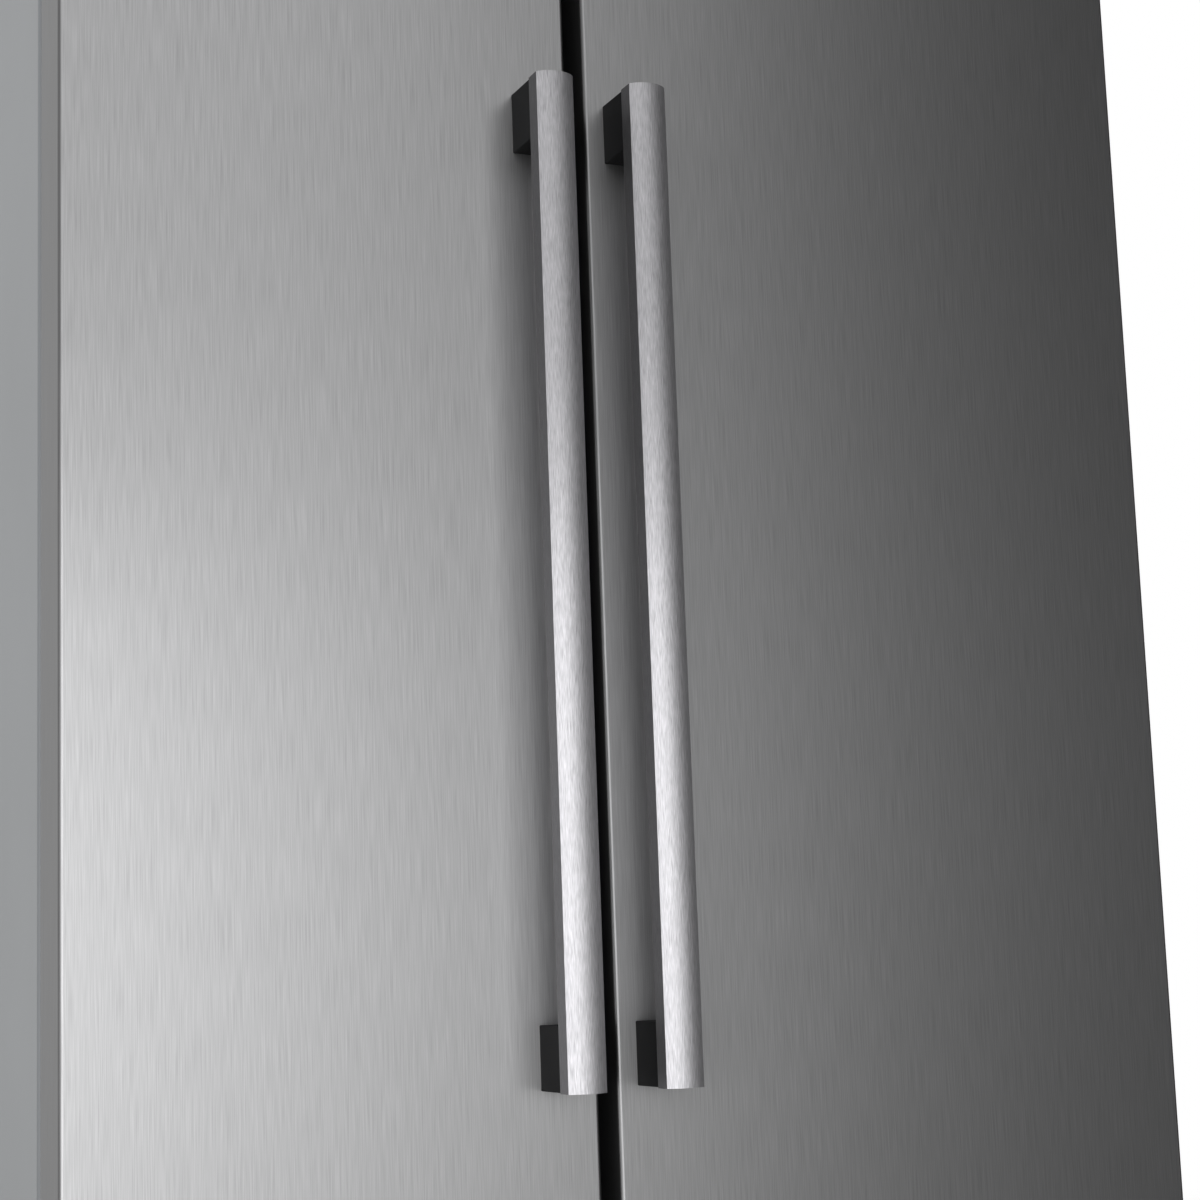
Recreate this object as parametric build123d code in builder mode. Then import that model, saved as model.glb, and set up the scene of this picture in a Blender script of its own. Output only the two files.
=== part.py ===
# Side-by-side fridge freezer, floor standing, with two full-height doors.
# Frame: +X to the right seen from the front, +Y into the depth, +Z up, in millimetres.
# The origin is on the floor, under the middle of the whole appliance.
from build123d import *
import math
import os

os.makedirs("parts", exist_ok=True)

# Cabinet
cabinet_width = 910.0
cabinet_depth = 605.0
cabinet_top = 1755.0
skirt = 30.0                  # floor to the lower edge of the side panels
rail_height = 45.0
rail_width = 34.0
rail_wall = 1.5
sheet = 0.8                   # folded outer sheet
bend = 2.6                    # middle-line radius of the sheet's front bends
tight_bend = 1.2              # middle-line radius of the bends at the back of a door
rear_return = 20.0
side_wall = 60.0
top_wall = 55.0
bottom_wall = 55.0
back_wall = 60.0
centre_wall = 60.0
seam_x = -55.0                # middle of the gap between the doors
lip = 6.0                     # liner flange that shows round each opening
liner_wall = 2.0
liner_corner = 20.0           # corner radius of the compartments, seen from the side
liner_edge = 12.0             # corner radius along the compartments' side walls
machine_depth = 200.0
machine_top = 285.0
machine_foam = 45.0

# Doors
door_thickness = 62.0
door_gap = 15.2               # seam between the two doors
door_bottom = 92.0
door_top = 1749.0
seal_gap = 10.0               # door back to cabinet front
seal_clearance = 0.3
door_return = 5.0
cap_lip = 3.0
cap_depth = 20.0
rim_inset = 15.0              # compartment wall to the door's raised rim
rim_width = 28.0
rim_reach = 22.0              # how far the rim stands into the cabinet
rim_corner = 24.0
rim_edge = 5.0
rim_inner_corner = 10.0
gasket_width = 12.0
gasket_hinge_inset = 19.0
gasket_free_inset = 6.0
gasket_end_inset = 10.0
gasket_corner = 5.0

# Door hinges
pin_inset = 18.0              # side of the door to the hinge pin
pin_depth = 25.0              # front of the door to the hinge pin
pin_radius = 5.0
pin_clearance = 0.05
pin_reach = 18.0
hinge_plate = 4.0
hinge_eye = 12.0
hinge_length = 70.0
hinge_width = 64.0
hinge_corner = 3.0
lower_hinge_drop = 10.0
lower_hinge_flange = 8.0
lower_leg_gap = 6.0        # lower edge of the skirt to the lower hinge's leg
collar_radius = 9.0
collar_clearance = 0.3
hinge_cover_height = 25.0
hinge_cover_wall = 2.0
hinge_cover_roof = 6.0
hinge_cover_gap = 3.0
hinge_cover_corner = 9.0
hinge_cover_edge = 6.0
screw_radius = 2.9
screw_head_radius = 5.2
screw_head = 3.5
screw_depth = 16.0
screw_clearance = 0.1
screw_socket = 2.6            # corner radius of the six-sided driver socket
screw_socket_depth = 2.0

# Handles
handle_bottom = 700.0
handle_length = 754.0
handle_pitch = 77.0
bar_width = 30.0
bar_flank = 14.8
bar_arch = 6.55
bar_wall = 2.2
bar_edge = 0.5
finger_gap = 35.0
bracket_height = 47.6
bracket_inset = 0.3           # bracket face inside the bar's flank
bracket_end_inset = 0.6       # bracket end inside the bar's end
bracket_edge = 1.0
plug_fit = 0.15
plug_setback = 8.0            # bracket's inner end to the end of its plug
plug_neck = 14.0

# Shelves and drawers
shelf_heights = (515.0, 745.0, 975.0, 1205.0, 1435.0)
shelf_setback = 126.0         # cabinet front to the front of shelves and drawers
glass = 4.0
glass_side_clearance = 1.2
glass_corner = 3.0
shelf_back_gap = 1.2
ledge_reach = 9.0
ledge_height = 6.0
trim_depth = 16.0
trim_height = 13.0
trim_overlap = 9.0
trim_edge = 3.0
drawer_wall = 2.5
drawer_face = 10.0
drawer_side_clearance = 1.5
drawer_rim = 3.0
drawer_fit = 0.3
drawer_grip = 16.0
drawer_grip_height = 10.0
drawer_corner = 10.0
lower_drawer_bottom = 137.0
lower_drawer_top = 320.0
upper_drawer_bottom = 336.0
upper_drawer_top = 506.0
drawer_back_gap = 6.0
drawer_foot_radius = 6.0
drawer_face_edge = 2.0
drawer_grip_inset = 20.0
drawer_grip_edge = 3.0

# Door bins
bin_reach = 110.0             # how far the bins stand into the cabinet
bin_wall = 2.5
bin_corner = 18.0
bin_foot_radius = 5.0
bin_fit = 0.3
bin_height = 95.0
bottle_bin_height = 130.0
fridge_bin_levels = (185.0, 560.0, 900.0)
freezer_bin_levels = (185.0, 560.0, 900.0, 1240.0)
lug_reach = 5.0
lug_height = 8.0
lug_setback = 8.0             # rim's inner end to the end of the lug
dairy_level = 1300.0
dairy_height = 85.0
dairy_front = 28.0
lid_wall = 2.5
lid_pin_radius = 2.5
lid_pivot_drop = 6.0
lid_pivot_inset = 9.0
lid_front_gap = 1.0
lid_bend = 14.0
lid_ear_margin = 1.0
lid_back_reach = 2.0

# Cold side
evaporator_space = 74.0
evaporator_bottom = 372.0
evaporator_passes = 8
evaporator_pitch = 40.0
evaporator_tube = 4.0
evaporator_fins = 14
fin = 1.0
fin_depth = 50.0
cover_wall = 2.5
cover_corner = 18.0
cover_gap = 8.0               # back cover to the fan and to the fins
fin_margin = 12.0
evaporator_half = 130.0
evaporator_fan_height = 880.0
evaporator_fan_radius = 55.0
duct_width = 130.0
duct_depth = 20.0
duct_wall = 2.0
duct_chamfer = 12.0
duct_bottom = 540.0
duct_top = 1640.0
vent_height = 8.0
vent_length = 48.0
vent_spread = 60.0
intake_rise = 30.0            # foot of the back cover to its intake slots
supply_vents = (1320.0, 1550.0)
outlet_drop = 60.0            # shelf to the duct outlets under it
outlet_length = 65.0

# Controls and lamps
console_width = 300.0
console_depth = 170.0
console_height = 48.0
console_setback = 134.0
console_edge = 8.0
knob_radius = 17.0
knob_depth = 13.0
knob_shaft = 3.0
knob_shaft_length = 20.0
knob_dial = 4.0
knob_grip = 9.0
knob_edge = 1.0
knob_pointer = (1.4, 10.0, 0.6)
knob_x_offset = -60.0
button_x_offset = 50.0
button_width = 18.0
button_height = 11.0
button_proud = 3.0
button_length = 13.0
button_travel = 1.5
button_fit = 0.3
button_edge = 0.8
lens_length = 110.0
lens_width = 60.0
lens_depth = 6.0
lens_setback = 60.0
lens_corner = 6.0
freezer_lens_depth = 12.0

# Machine compartment
compressor_inset = 185.0      # right side of the cabinet to the compressor's middle
compressor_radius = 86.0
compressor_height = 158.0
compressor_base_radius = 64.0
compressor_shoulder = 20.0
compressor_seam_height = 95.0
compressor_seam = 6.0
compressor_seam_rim = 4.0
compressor_foot = 12.0
compressor_foot_radius = 9.0
compressor_plate = (190.0, 120.0, 3.0)
compressor_feet = (160.0, 90.0)
terminal_reach = 26.0
terminal_width = 60.0
terminal_height = 58.0
terminal_level = 30.0
terminal_corner = 4.0
stub_radius = 4.0
stub_length = 80.0
stub_level = 60.0
stub_offset = 30.0
condenser_passes = 8
condenser_pitch = 26.0
condenser_tube = 3.0
condenser_inset = 435.0       # right side of the cabinet to the coil's right end
condenser_width = 170.0
condenser_fins = 12
condenser_depth = 60.0
condenser_fan_inset = 389.0
condenser_fan_radius = 70.0
fan_plate = 2.0
fan_plate_margin = 12.0
fan_arm = 12.0
fan_arm_depth = 8.0
tray_inset = 40.0             # left side of the cabinet to the tray
tray_width = 240.0
tray_height = 32.0
tray_wall = 2.0
tray_corner = 12.0
tray_front_gap = 15.0
tray_back_gap = 25.0
rear_cover = 1.2
rear_cover_inset = 1.8
rear_vent = 50.0
rear_vent_pitch = 62.0
rear_vent_drop = 100.0
rear_vent_columns = 3
rear_vent_rows = 8
inlet_inset = 80.0            # left side of the cabinet to the inlet's middle
inlet_z = 120.0
inlet_width = 28.0
inlet_height = 21.0
inlet_depth = 22.0
inlet_wall = 2.0
inlet_floor = 5.0
inlet_flange = (8.0, 3.0, 3.0)
inlet_clearance = 0.5
inlet_blade = (2.0, 4.0)
inlet_blade_short = 2.0
inlet_blades = ((-7.0, -2.0), (0.0, 3.0), (7.0, -2.0))

# Fans
fan_blades = 7
fan_hub = 17.0
fan_width = 16.0
fan_hub_edge = 2.0
fan_shaft = 2.5
fan_tip_gap = 4.0
blade = 1.6
blade_chord = 27.2
blade_pitch = 35.0
motor_radius = 20.0
motor_length = 30.0
motor_gap = 3.0               # fan's hub to the motor
motor_strap = (120.0, 3.0, 28.0)
fan_shaft_length = 14.0
motor_bore = 18.0
shaft_clearance = 0.06

# Feet, rollers and grille
foot_radius = 17.0
foot_height = 12.0
foot_stud = 5.0
foot_setback = 42.0
foot_nut = 9.0
foot_chamfer = 1.5
foot_sides = 12
stud_top_gap = 4.0
roller_radius = 20.0
roller_width = 14.0
roller_setback = 70.0
axle_radius = 3.0
cheek = 2.0
cheek_gap = 1.0
cheek_half = 14.0
roller_slot_gap = 3.0
roller_edge = 2.0
axle_proud = 1.0
grille_depth = 13.0
grille_gap = 9.0
grille_bottom = 14.0
grille_top = 78.0
grille_end = 8.0
grille_edge = 3.0
grille_slot = 170.0
grille_slot_pitch = 200.0
grille_slot_columns = 4
grille_slot_rows = 3
grille_boss = 30.0
grille_boss_height = 20.0
grille_boss_pitch = 300.0
slot_height = 6.0
slot_rise = 15.0

# Places that follow from the sizes above
handle_reach = finger_gap + bar_flank + bar_arch
total_depth = handle_reach + door_thickness + seal_gap + cabinet_depth
front_y = -total_depth / 2
door_front_y = front_y + handle_reach
door_back_y = door_front_y + door_thickness
cabinet_front_y = door_back_y + seal_gap
cabinet_back_y = cabinet_front_y + cabinet_depth
half_width = cabinet_width / 2
compressor_x = half_width - compressor_inset
condenser_right = half_width - condenser_inset
condenser_left = condenser_right - condenser_width
condenser_fan_x = half_width - condenser_fan_inset
tray_left = tray_inset - half_width
tray_right = tray_left + tray_width
inlet_x = inlet_inset - half_width
inner_half = half_width - sheet
rail_top = skirt + rail_height
machine_front_y = cabinet_back_y - machine_depth
rear_cover_y = cabinet_back_y - rear_cover_inset - rear_cover

freezer_left = -half_width + side_wall
freezer_right = seam_x - centre_wall / 2
fridge_left = seam_x + centre_wall / 2
fridge_right = half_width - side_wall
room_bottom = rail_top + bottom_wall
room_top = cabinet_top - top_wall
room_back_y = cabinet_back_y - back_wall
hump_y = machine_front_y - machine_foam
hump_top = machine_top + machine_foam
freezer_middle = (freezer_left + freezer_right) / 2
fridge_middle = (fridge_left + fridge_right) / 2

pin_x = half_width - pin_inset
pin_y = door_front_y + pin_depth
liner_back_y = door_back_y - sheet
liner_front_y = liner_back_y - liner_wall
shelf_front_y = cabinet_front_y + shelf_setback
cover_front_y = room_back_y - evaporator_space
bar_back_y = door_front_y - finger_gap
handle_top = handle_bottom + handle_length
bin_front_y = cabinet_front_y + bin_reach


# Blocks and prisms that several pieces share


def block(x, y, z, mode=Mode.ADD):
    """A rectangular block between two values along each axis."""
    with BuildSketch(Plane.XY.offset(min(z))) as footprint:
        with Locations((sum(x) / 2, sum(y) / 2)):
            Rectangle(abs(x[1] - x[0]), abs(y[1] - y[0]))
    extrude(footprint.sketch, amount=abs(z[1] - z[0]), dir=(0, 0, 1), mode=mode)


def rounded_block(x, y, z, radius, mode=Mode.ADD):
    """A block with rounded upright edges."""
    with BuildSketch(Plane.XY.offset(min(z))) as footprint:
        with Locations((sum(x) / 2, sum(y) / 2)):
            RectangleRounded(abs(x[1] - x[0]), abs(y[1] - y[0]), radius)
    extrude(footprint.sketch, amount=abs(z[1] - z[0]), dir=(0, 0, 1), mode=mode)


def rod(start, direction, radius, length, mode=Mode.ADD):
    """A round rod or bore from a start point along a direction."""
    with BuildSketch(Plane(origin=start, z_dir=direction)) as circle:
        Circle(radius)
    extrude(circle.sketch, amount=length, mode=mode)


def folded_sheet(points, radii, z_low, z_high):
    """Sheet bent along a middle line and standing upright."""
    with BuildSketch(Plane.XY.offset(z_low)) as section:
        with BuildLine():
            FilletPolyline(*points, radius=radii)
        trace(line_width=sheet)
    extrude(section.sketch, amount=z_high - z_low, dir=(0, 0, 1))


# Cabinet shell


def side_panel_points(side):
    """Middle line of a side panel: front flange, side, rear flange."""
    side_x = side * (half_width - sheet / 2)
    front = cabinet_front_y + sheet / 2
    back = cabinet_back_y - sheet / 2
    return [
        (side * (half_width - side_wall + lip), front),
        (side_x, front),
        (side_x, back),
        (side * (half_width - rear_return), back),
    ]


upper_screw_spots = [
    (side * (pin_x - dx), cabinet_front_y + dy)
    for side in (-1, 1)
    for dx, dy in ((-2.0, 25.0), (35.0, 25.0), (16.0, 55.0))
]
lower_screw_spots = [
    (side * (pin_x - dx), z) for side in (-1, 1) for dx, z in ((0.0, 52.0), (22.0, 62.0))
]


def bore_lower_screws():
    """Clearance holes for the lower hinge screws through whatever lies there."""
    for x, z in lower_screw_spots:
        rod(
            (x, cabinet_front_y - screw_depth, z),
            (0, 1, 0),
            screw_radius + screw_clearance,
            2 * screw_depth + screw_clearance,
            mode=Mode.SUBTRACT,
        )


def bore_upper_screws():
    """Clearance holes for the upper hinge screws, down from the cabinet top."""
    for x, y in upper_screw_spots:
        rod(
            (x, y, cabinet_top + hinge_plate + screw_clearance),
            (0, 0, -1),
            screw_radius + screw_clearance,
            screw_depth + 2 * screw_clearance,
            mode=Mode.SUBTRACT,
        )


with BuildPart() as left_side_panel:
    folded_sheet(side_panel_points(-1), [bend, bend], skirt, cabinet_top)
    bore_lower_screws()
left_side_panel.part.label = "left_side_panel"

with BuildPart() as right_side_panel:
    folded_sheet(side_panel_points(1), [bend, bend], skirt, cabinet_top)
    bore_lower_screws()
right_side_panel.part.label = "right_side_panel"

frame_half = half_width - side_wall + lip

with BuildPart() as top_panel:
    rounded_block(
        (-inner_half, inner_half),
        (cabinet_front_y + sheet, cabinet_back_y - sheet),
        (cabinet_top - sheet, cabinet_top),
        bend,
    )
    block(
        (-frame_half, frame_half),
        (cabinet_front_y, cabinet_front_y + sheet),
        (room_top + lip, cabinet_top),
    )
    block(
        (-half_width + rear_return, half_width - rear_return),
        (cabinet_back_y - sheet, cabinet_back_y),
        (cabinet_top - rear_return, cabinet_top),
    )
    bore_upper_screws()
top_panel.part.label = "top_panel"

with BuildPart() as back_panel:
    block(
        (-half_width + rear_return, half_width - rear_return),
        (cabinet_back_y - sheet, cabinet_back_y),
        (machine_top, cabinet_top - rear_return),
    )
back_panel.part.label = "back_panel"

with BuildPart() as front_frame:
    block(
        (-frame_half, frame_half),
        (cabinet_front_y, cabinet_front_y + sheet),
        (skirt, room_bottom - lip),
    )
    block(
        (freezer_right + lip, fridge_left - lip),
        (cabinet_front_y, cabinet_front_y + sheet),
        (room_bottom - lip, room_top + lip),
    )
front_frame.part.label = "front_frame"


# Compartments: the space of each, and the moulded liner that wraps it


def room_block(x_low, x_high, grow):
    """The space of a compartment, grown by a wall on every side but the front."""
    low, high = room_bottom - grow, room_top + grow
    back, step_back, step_top = room_back_y + grow, hump_y + grow, hump_top - grow
    with BuildPart() as room:
        with BuildSketch(Plane.YZ.offset(x_low - grow)) as side_view:
            with BuildLine():
                Polyline(
                    (cabinet_front_y, low),
                    (step_back, low),
                    (step_back, step_top),
                    (back, step_top),
                    (back, high),
                    (cabinet_front_y, high),
                    close=True,
                )
            make_face()
            inner_corners = side_view.vertices().filter_by_position(
                Axis.X, cabinet_front_y + sheet, back, (False, True)
            )
            fillet(inner_corners, liner_corner)
        extrude(side_view.sketch, amount=x_high - x_low + 2 * grow, dir=(1, 0, 0))
        ends = room.faces().group_by(Axis.X)
        rounded = ends[0].edges() + ends[-1].edges()
        fillet(
            rounded.filter_by_position(
                Axis.Y, cabinet_front_y + sheet, back + sheet, (False, True)
            ),
            liner_edge + grow,
        )
    return room.part


fridge_space = room_block(fridge_left, fridge_right, 0)
freezer_space = room_block(freezer_left, freezer_right, 0)
fridge_shell = room_block(fridge_left, fridge_right, liner_wall)
freezer_shell = room_block(freezer_left, freezer_right, liner_wall)

with BuildPart() as cabinet_foam:
    rounded_block(
        (-inner_half, inner_half),
        (cabinet_front_y + sheet, cabinet_back_y - sheet),
        (rail_top, cabinet_top - sheet),
        bend,
    )
    block(
        (-half_width, half_width),
        (machine_front_y, cabinet_back_y),
        (skirt, machine_top),
        mode=Mode.SUBTRACT,
    )
    add(fridge_shell, mode=Mode.SUBTRACT)
    add(freezer_shell, mode=Mode.SUBTRACT)
    bore_upper_screws()
cabinet_foam.part.label = "cabinet_foam"


def ledges(x_low, x_high, y, z_top):
    """A pair of moulded ledges, one on each side wall, that carry a shelf or a drawer."""
    for wall_x, inward in ((x_low, 1), (x_high, -1)):
        block(
            (wall_x - inward * liner_wall / 2, wall_x + inward * ledge_reach),
            y,
            (z_top - ledge_height, z_top),
        )


def liner(x_low, x_high, space, shell, shelf_back):
    """Moulded liner: thin wall, flange round the opening, ledges on the side walls."""
    with BuildPart() as lining:
        add(shell)
        block(
            (x_low - lip, x_high + lip),
            (cabinet_front_y, cabinet_front_y + sheet),
            (room_bottom - lip, room_top + lip),
        )
        add(space, mode=Mode.SUBTRACT)
        for z in shelf_heights:
            ledges(x_low, x_high, (shelf_front_y + trim_depth + drawer_fit, shelf_back), z)
        ledge_start = shelf_front_y + drawer_grip + drawer_face + drawer_fit
        ledges(
            x_low,
            x_high,
            (ledge_start, hump_y - liner_corner),
            lower_drawer_top - drawer_rim - drawer_fit,
        )
        ledges(
            x_low,
            x_high,
            (ledge_start, shelf_back),
            upper_drawer_top - drawer_rim - drawer_fit,
        )
    return lining.part


fridge_shelf_back = room_back_y - duct_depth - shelf_back_gap
freezer_shelf_back = cover_front_y - shelf_back_gap

fridge_liner = liner(
    fridge_left, fridge_right, fridge_space, fridge_shell, fridge_shelf_back
)
fridge_liner.label = "fridge_liner"
freezer_liner = liner(
    freezer_left, freezer_right, freezer_space, freezer_shell, freezer_shelf_back
)
freezer_liner.label = "freezer_liner"


# Base frame with its rails, foot nuts and roller cheeks

roller_x = inner_half - rail_width / 2
roller_y = cabinet_back_y - roller_setback
foot_y = cabinet_front_y + foot_setback
beam_y = cabinet_front_y + sheet
cheek_inner = roller_width / 2 + cheek_gap
slot_length = 2 * (roller_radius + roller_slot_gap)
foot_top = rail_top - stud_top_gap

with BuildPart() as base_frame:
    for side in (-1, 1):
        web_x = side * inner_half
        inward_x = side * (inner_half - rail_width)
        rail_y = (beam_y, rear_cover_y)
        block((web_x, web_x - side * rail_wall), rail_y, (skirt, rail_top))
        block((web_x, inward_x), rail_y, (rail_top - rail_wall, rail_top))
        block((web_x, inward_x), rail_y, (skirt, skirt + rail_wall))
        rod((side * roller_x, foot_y, skirt), (0, 0, 1), foot_nut, foot_height)
        for offset in (-cheek_inner - cheek, cheek_inner):
            block(
                (side * roller_x + offset, side * roller_x + offset + cheek),
                (roller_y - cheek_half, roller_y + cheek_half),
                (roller_radius - 2 * axle_radius, skirt + rail_wall),
            )
    block(
        (-inner_half, inner_half),
        (beam_y, beam_y + rail_wall),
        (skirt, rail_top),
    )
    block(
        (-inner_half, inner_half),
        (beam_y, beam_y + rail_width),
        (rail_top - rail_wall, rail_top),
    )
    block(
        (-inner_half + rail_wall, inner_half - rail_wall),
        (machine_front_y, rear_cover_y),
        (skirt, skirt + rail_wall),
    )
    block(
        (-inner_half + rail_wall, inner_half - rail_wall),
        (machine_front_y, machine_front_y + rail_wall),
        (skirt, rail_top),
    )
    front_corners = base_frame.edges().filter_by(Axis.Z).group_by(Axis.Y)[0]
    fillet(front_corners.filter_by(lambda e: abs(e.center().X) > inner_half - sheet), bend)
    for side in (-1, 1):
        rod(
            (side * roller_x, foot_y, skirt),
            (0, 0, 1),
            foot_stud + shaft_clearance,
            foot_height,
            mode=Mode.SUBTRACT,
        )
        block(
            (side * (roller_x - cheek_inner), side * (roller_x + cheek_inner)),
            (roller_y - slot_length / 2, roller_y + slot_length / 2),
            (skirt - rail_wall, skirt + 2 * rail_wall),
            mode=Mode.SUBTRACT,
        )
        rod(
            (side * roller_x - rail_width / 2, roller_y, roller_radius),
            (1, 0, 0),
            axle_radius + shaft_clearance,
            rail_width,
            mode=Mode.SUBTRACT,
        )
    bore_lower_screws()
base_frame.part.label = "base_frame"


def levelling_foot(side):
    """Levelling foot: a round pad with grip flats and an upright stud."""
    centre = (side * roller_x, foot_y, 0)
    with BuildPart() as foot:
        with BuildSketch(Plane.XY) as pad:
            with Locations(centre[:2]):
                RegularPolygon(foot_radius, foot_sides)
        extrude(pad.sketch, amount=foot_height)
        chamfer(foot.edges().filter_by(Plane.XY), foot_chamfer)
        rod(centre, (0, 0, 1), foot_stud, foot_top)
    return foot.part


left_foot = levelling_foot(-1)
left_foot.label = "left_foot"
right_foot = levelling_foot(1)
right_foot.label = "right_foot"


def roller(side):
    """Rear roller with its axle, which turns in the two cheeks."""
    middle = side * roller_x
    axle_half = cheek_inner + cheek + axle_proud
    with BuildPart() as wheel:
        rod(
            (middle - roller_width / 2, roller_y, roller_radius),
            (1, 0, 0),
            roller_radius,
            roller_width,
        )
        fillet(wheel.edges().filter_by(GeomType.CIRCLE), roller_edge)
        rod(
            (middle - axle_half, roller_y, roller_radius),
            (1, 0, 0),
            axle_radius,
            2 * axle_half,
        )
    return wheel.part


left_roller = roller(-1)
left_roller.label = "left_roller"
right_roller = roller(1)
right_roller.label = "right_roller"

# Kick grille under the doors: a slotted bar on two bosses
grille_back_y = cabinet_front_y - grille_gap
grille_front_y = grille_back_y - grille_depth
with BuildPart() as kick_grille:
    block(
        (-half_width + grille_end, half_width - grille_end),
        (grille_front_y, grille_back_y),
        (grille_bottom, grille_top),
    )
    fillet(kick_grille.edges().filter_by(Axis.X).group_by(Axis.Y)[0], grille_edge)
    with BuildSketch(Plane.XZ.offset(-grille_back_y)) as slots:
        with Locations((0, (grille_bottom + grille_top) / 2)):
            with GridLocations(
                grille_slot_pitch, slot_rise, grille_slot_columns, grille_slot_rows
            ):
                SlotOverall(grille_slot, slot_height)
    extrude(slots.sketch, amount=grille_depth, mode=Mode.SUBTRACT)
    for place in (-1, 0, 1):
        middle = place * grille_boss_pitch
        block(
            (middle - grille_boss / 2, middle + grille_boss / 2),
            (grille_back_y, cabinet_front_y),
            (skirt, skirt + grille_boss_height),
        )
kick_grille.part.label = "kick_grille"


# Machine compartment

plate_top = skirt + rail_wall
machine_middle_y = (machine_front_y + rear_cover_y) / 2

with BuildPart() as machine_cover:
    block(
        (-half_width + rear_return, half_width - rear_return),
        (rear_cover_y, rear_cover_y + rear_cover),
        (skirt, machine_top),
    )
    vent_z = machine_top - rear_vent_drop
    condenser_middle = (condenser_left + condenser_right) / 2
    with BuildSketch(Plane.XZ.offset(-rear_cover_y)) as vents:
        with Locations((condenser_middle, vent_z), (compressor_x, vent_z)):
            with GridLocations(
                rear_vent_pitch, 2 * slot_height, rear_vent_columns, rear_vent_rows
            ):
                SlotOverall(rear_vent, slot_height)
        with Locations((inlet_x, inlet_z)):
            Rectangle(inlet_width + 2 * inlet_clearance, inlet_height + 2 * inlet_clearance)
    extrude(vents.sketch, amount=-rear_cover, mode=Mode.SUBTRACT)
machine_cover.part.label = "machine_cover"

inlet_back_y = rear_cover_y + rear_cover
flange_side, flange_end, flange_depth = inlet_flange
socket_y = inlet_back_y - inlet_depth + inlet_floor
with BuildPart() as power_inlet:
    block(
        (inlet_x - inlet_width / 2, inlet_x + inlet_width / 2),
        (inlet_back_y - inlet_depth, inlet_back_y),
        (inlet_z - inlet_height / 2, inlet_z + inlet_height / 2),
    )
    block(
        (inlet_x - inlet_width / 2 - flange_side, inlet_x + inlet_width / 2 + flange_side),
        (rear_cover_y - flange_depth, rear_cover_y),
        (inlet_z - inlet_height / 2 - flange_end, inlet_z + inlet_height / 2 + flange_end),
    )
    block(
        (inlet_x - inlet_width / 2 + inlet_wall, inlet_x + inlet_width / 2 - inlet_wall),
        (socket_y, inlet_back_y),
        (inlet_z - inlet_height / 2 + inlet_wall, inlet_z + inlet_height / 2 - inlet_wall),
        mode=Mode.SUBTRACT,
    )
    for dx, dz in inlet_blades:
        block(
            (inlet_x + dx - inlet_blade[0] / 2, inlet_x + dx + inlet_blade[0] / 2),
            (socket_y, inlet_back_y - inlet_blade_short),
            (inlet_z + dz - inlet_blade[1] / 2, inlet_z + dz + inlet_blade[1] / 2),
        )
power_inlet.part.label = "power_inlet"

shell_low = plate_top + compressor_foot
compressor_centre = Plane(
    origin=(compressor_x, machine_middle_y, shell_low), x_dir=(1, 0, 0), z_dir=(0, -1, 0)
)
seam_rim_radius = compressor_radius + compressor_seam_rim
seam_low = compressor_seam_height
seam_high = seam_low + compressor_seam
with BuildPart() as compressor:
    with BuildSketch(compressor_centre) as profile:
        with BuildLine():
            Polyline(
                (0, 0),
                (compressor_base_radius, 0),
                (compressor_radius, compressor_shoulder),
                (compressor_radius, seam_low),
                (seam_rim_radius, seam_low),
                (seam_rim_radius, seam_high),
                (compressor_radius, seam_high),
            )
            EllipticalCenterArc(
                (0, seam_high),
                compressor_radius,
                compressor_height - seam_high,
                start_angle=0,
                arc_size=90,
            )
            Line((0, compressor_height), (0, 0))
        make_face()
    revolve(profile.sketch, axis=Axis((compressor_x, machine_middle_y, 0), (0, 0, 1)))
    plate_x, plate_y, plate_z = compressor_plate
    rounded_block(
        (compressor_x - plate_x / 2, compressor_x + plate_x / 2),
        (machine_middle_y - plate_y / 2, machine_middle_y + plate_y / 2),
        (shell_low - 2 * plate_z / 3, shell_low + plate_z / 3),
        tray_corner,
    )
    for x_sign in (-1, 1):
        for y_sign in (-1, 1):
            foot_centre = (
                compressor_x + x_sign * compressor_feet[0] / 2,
                machine_middle_y + y_sign * compressor_feet[1] / 2,
                plate_top,
            )
            rod(foot_centre, (0, 0, 1), compressor_foot_radius, compressor_foot)
    terminal_x = compressor_x - compressor_radius
    rounded_block(
        (terminal_x - terminal_reach, terminal_x + terminal_corner * 2),
        (machine_middle_y - terminal_width / 2, machine_middle_y + terminal_width / 2),
        (shell_low + terminal_level, shell_low + terminal_level + terminal_height),
        terminal_corner,
    )
    rod(
        (compressor_x + stub_offset, machine_middle_y + terminal_width, shell_low + stub_level),
        (0, 0, 1),
        stub_radius,
        stub_length,
    )
compressor.part.label = "compressor"


def serpentine(x_low, x_high, y, z_low, pitch, passes, radius):
    """A flat serpentine of tube: level runs joined by tight bends."""
    points = []
    for turn in range(passes):
        ends = (x_low, x_high) if turn % 2 == 0 else (x_high, x_low)
        points += [(end, y, z_low + turn * pitch) for end in ends]
    with BuildPart() as coil:
        with BuildLine() as route:
            FilletPolyline(*points, radius=0.45 * pitch)
        with BuildSketch(Plane(origin=points[0], z_dir=(1, 0, 0))) as bore:
            Circle(radius)
        sweep(bore.sketch, path=route.line)
    return coil.part


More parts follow.
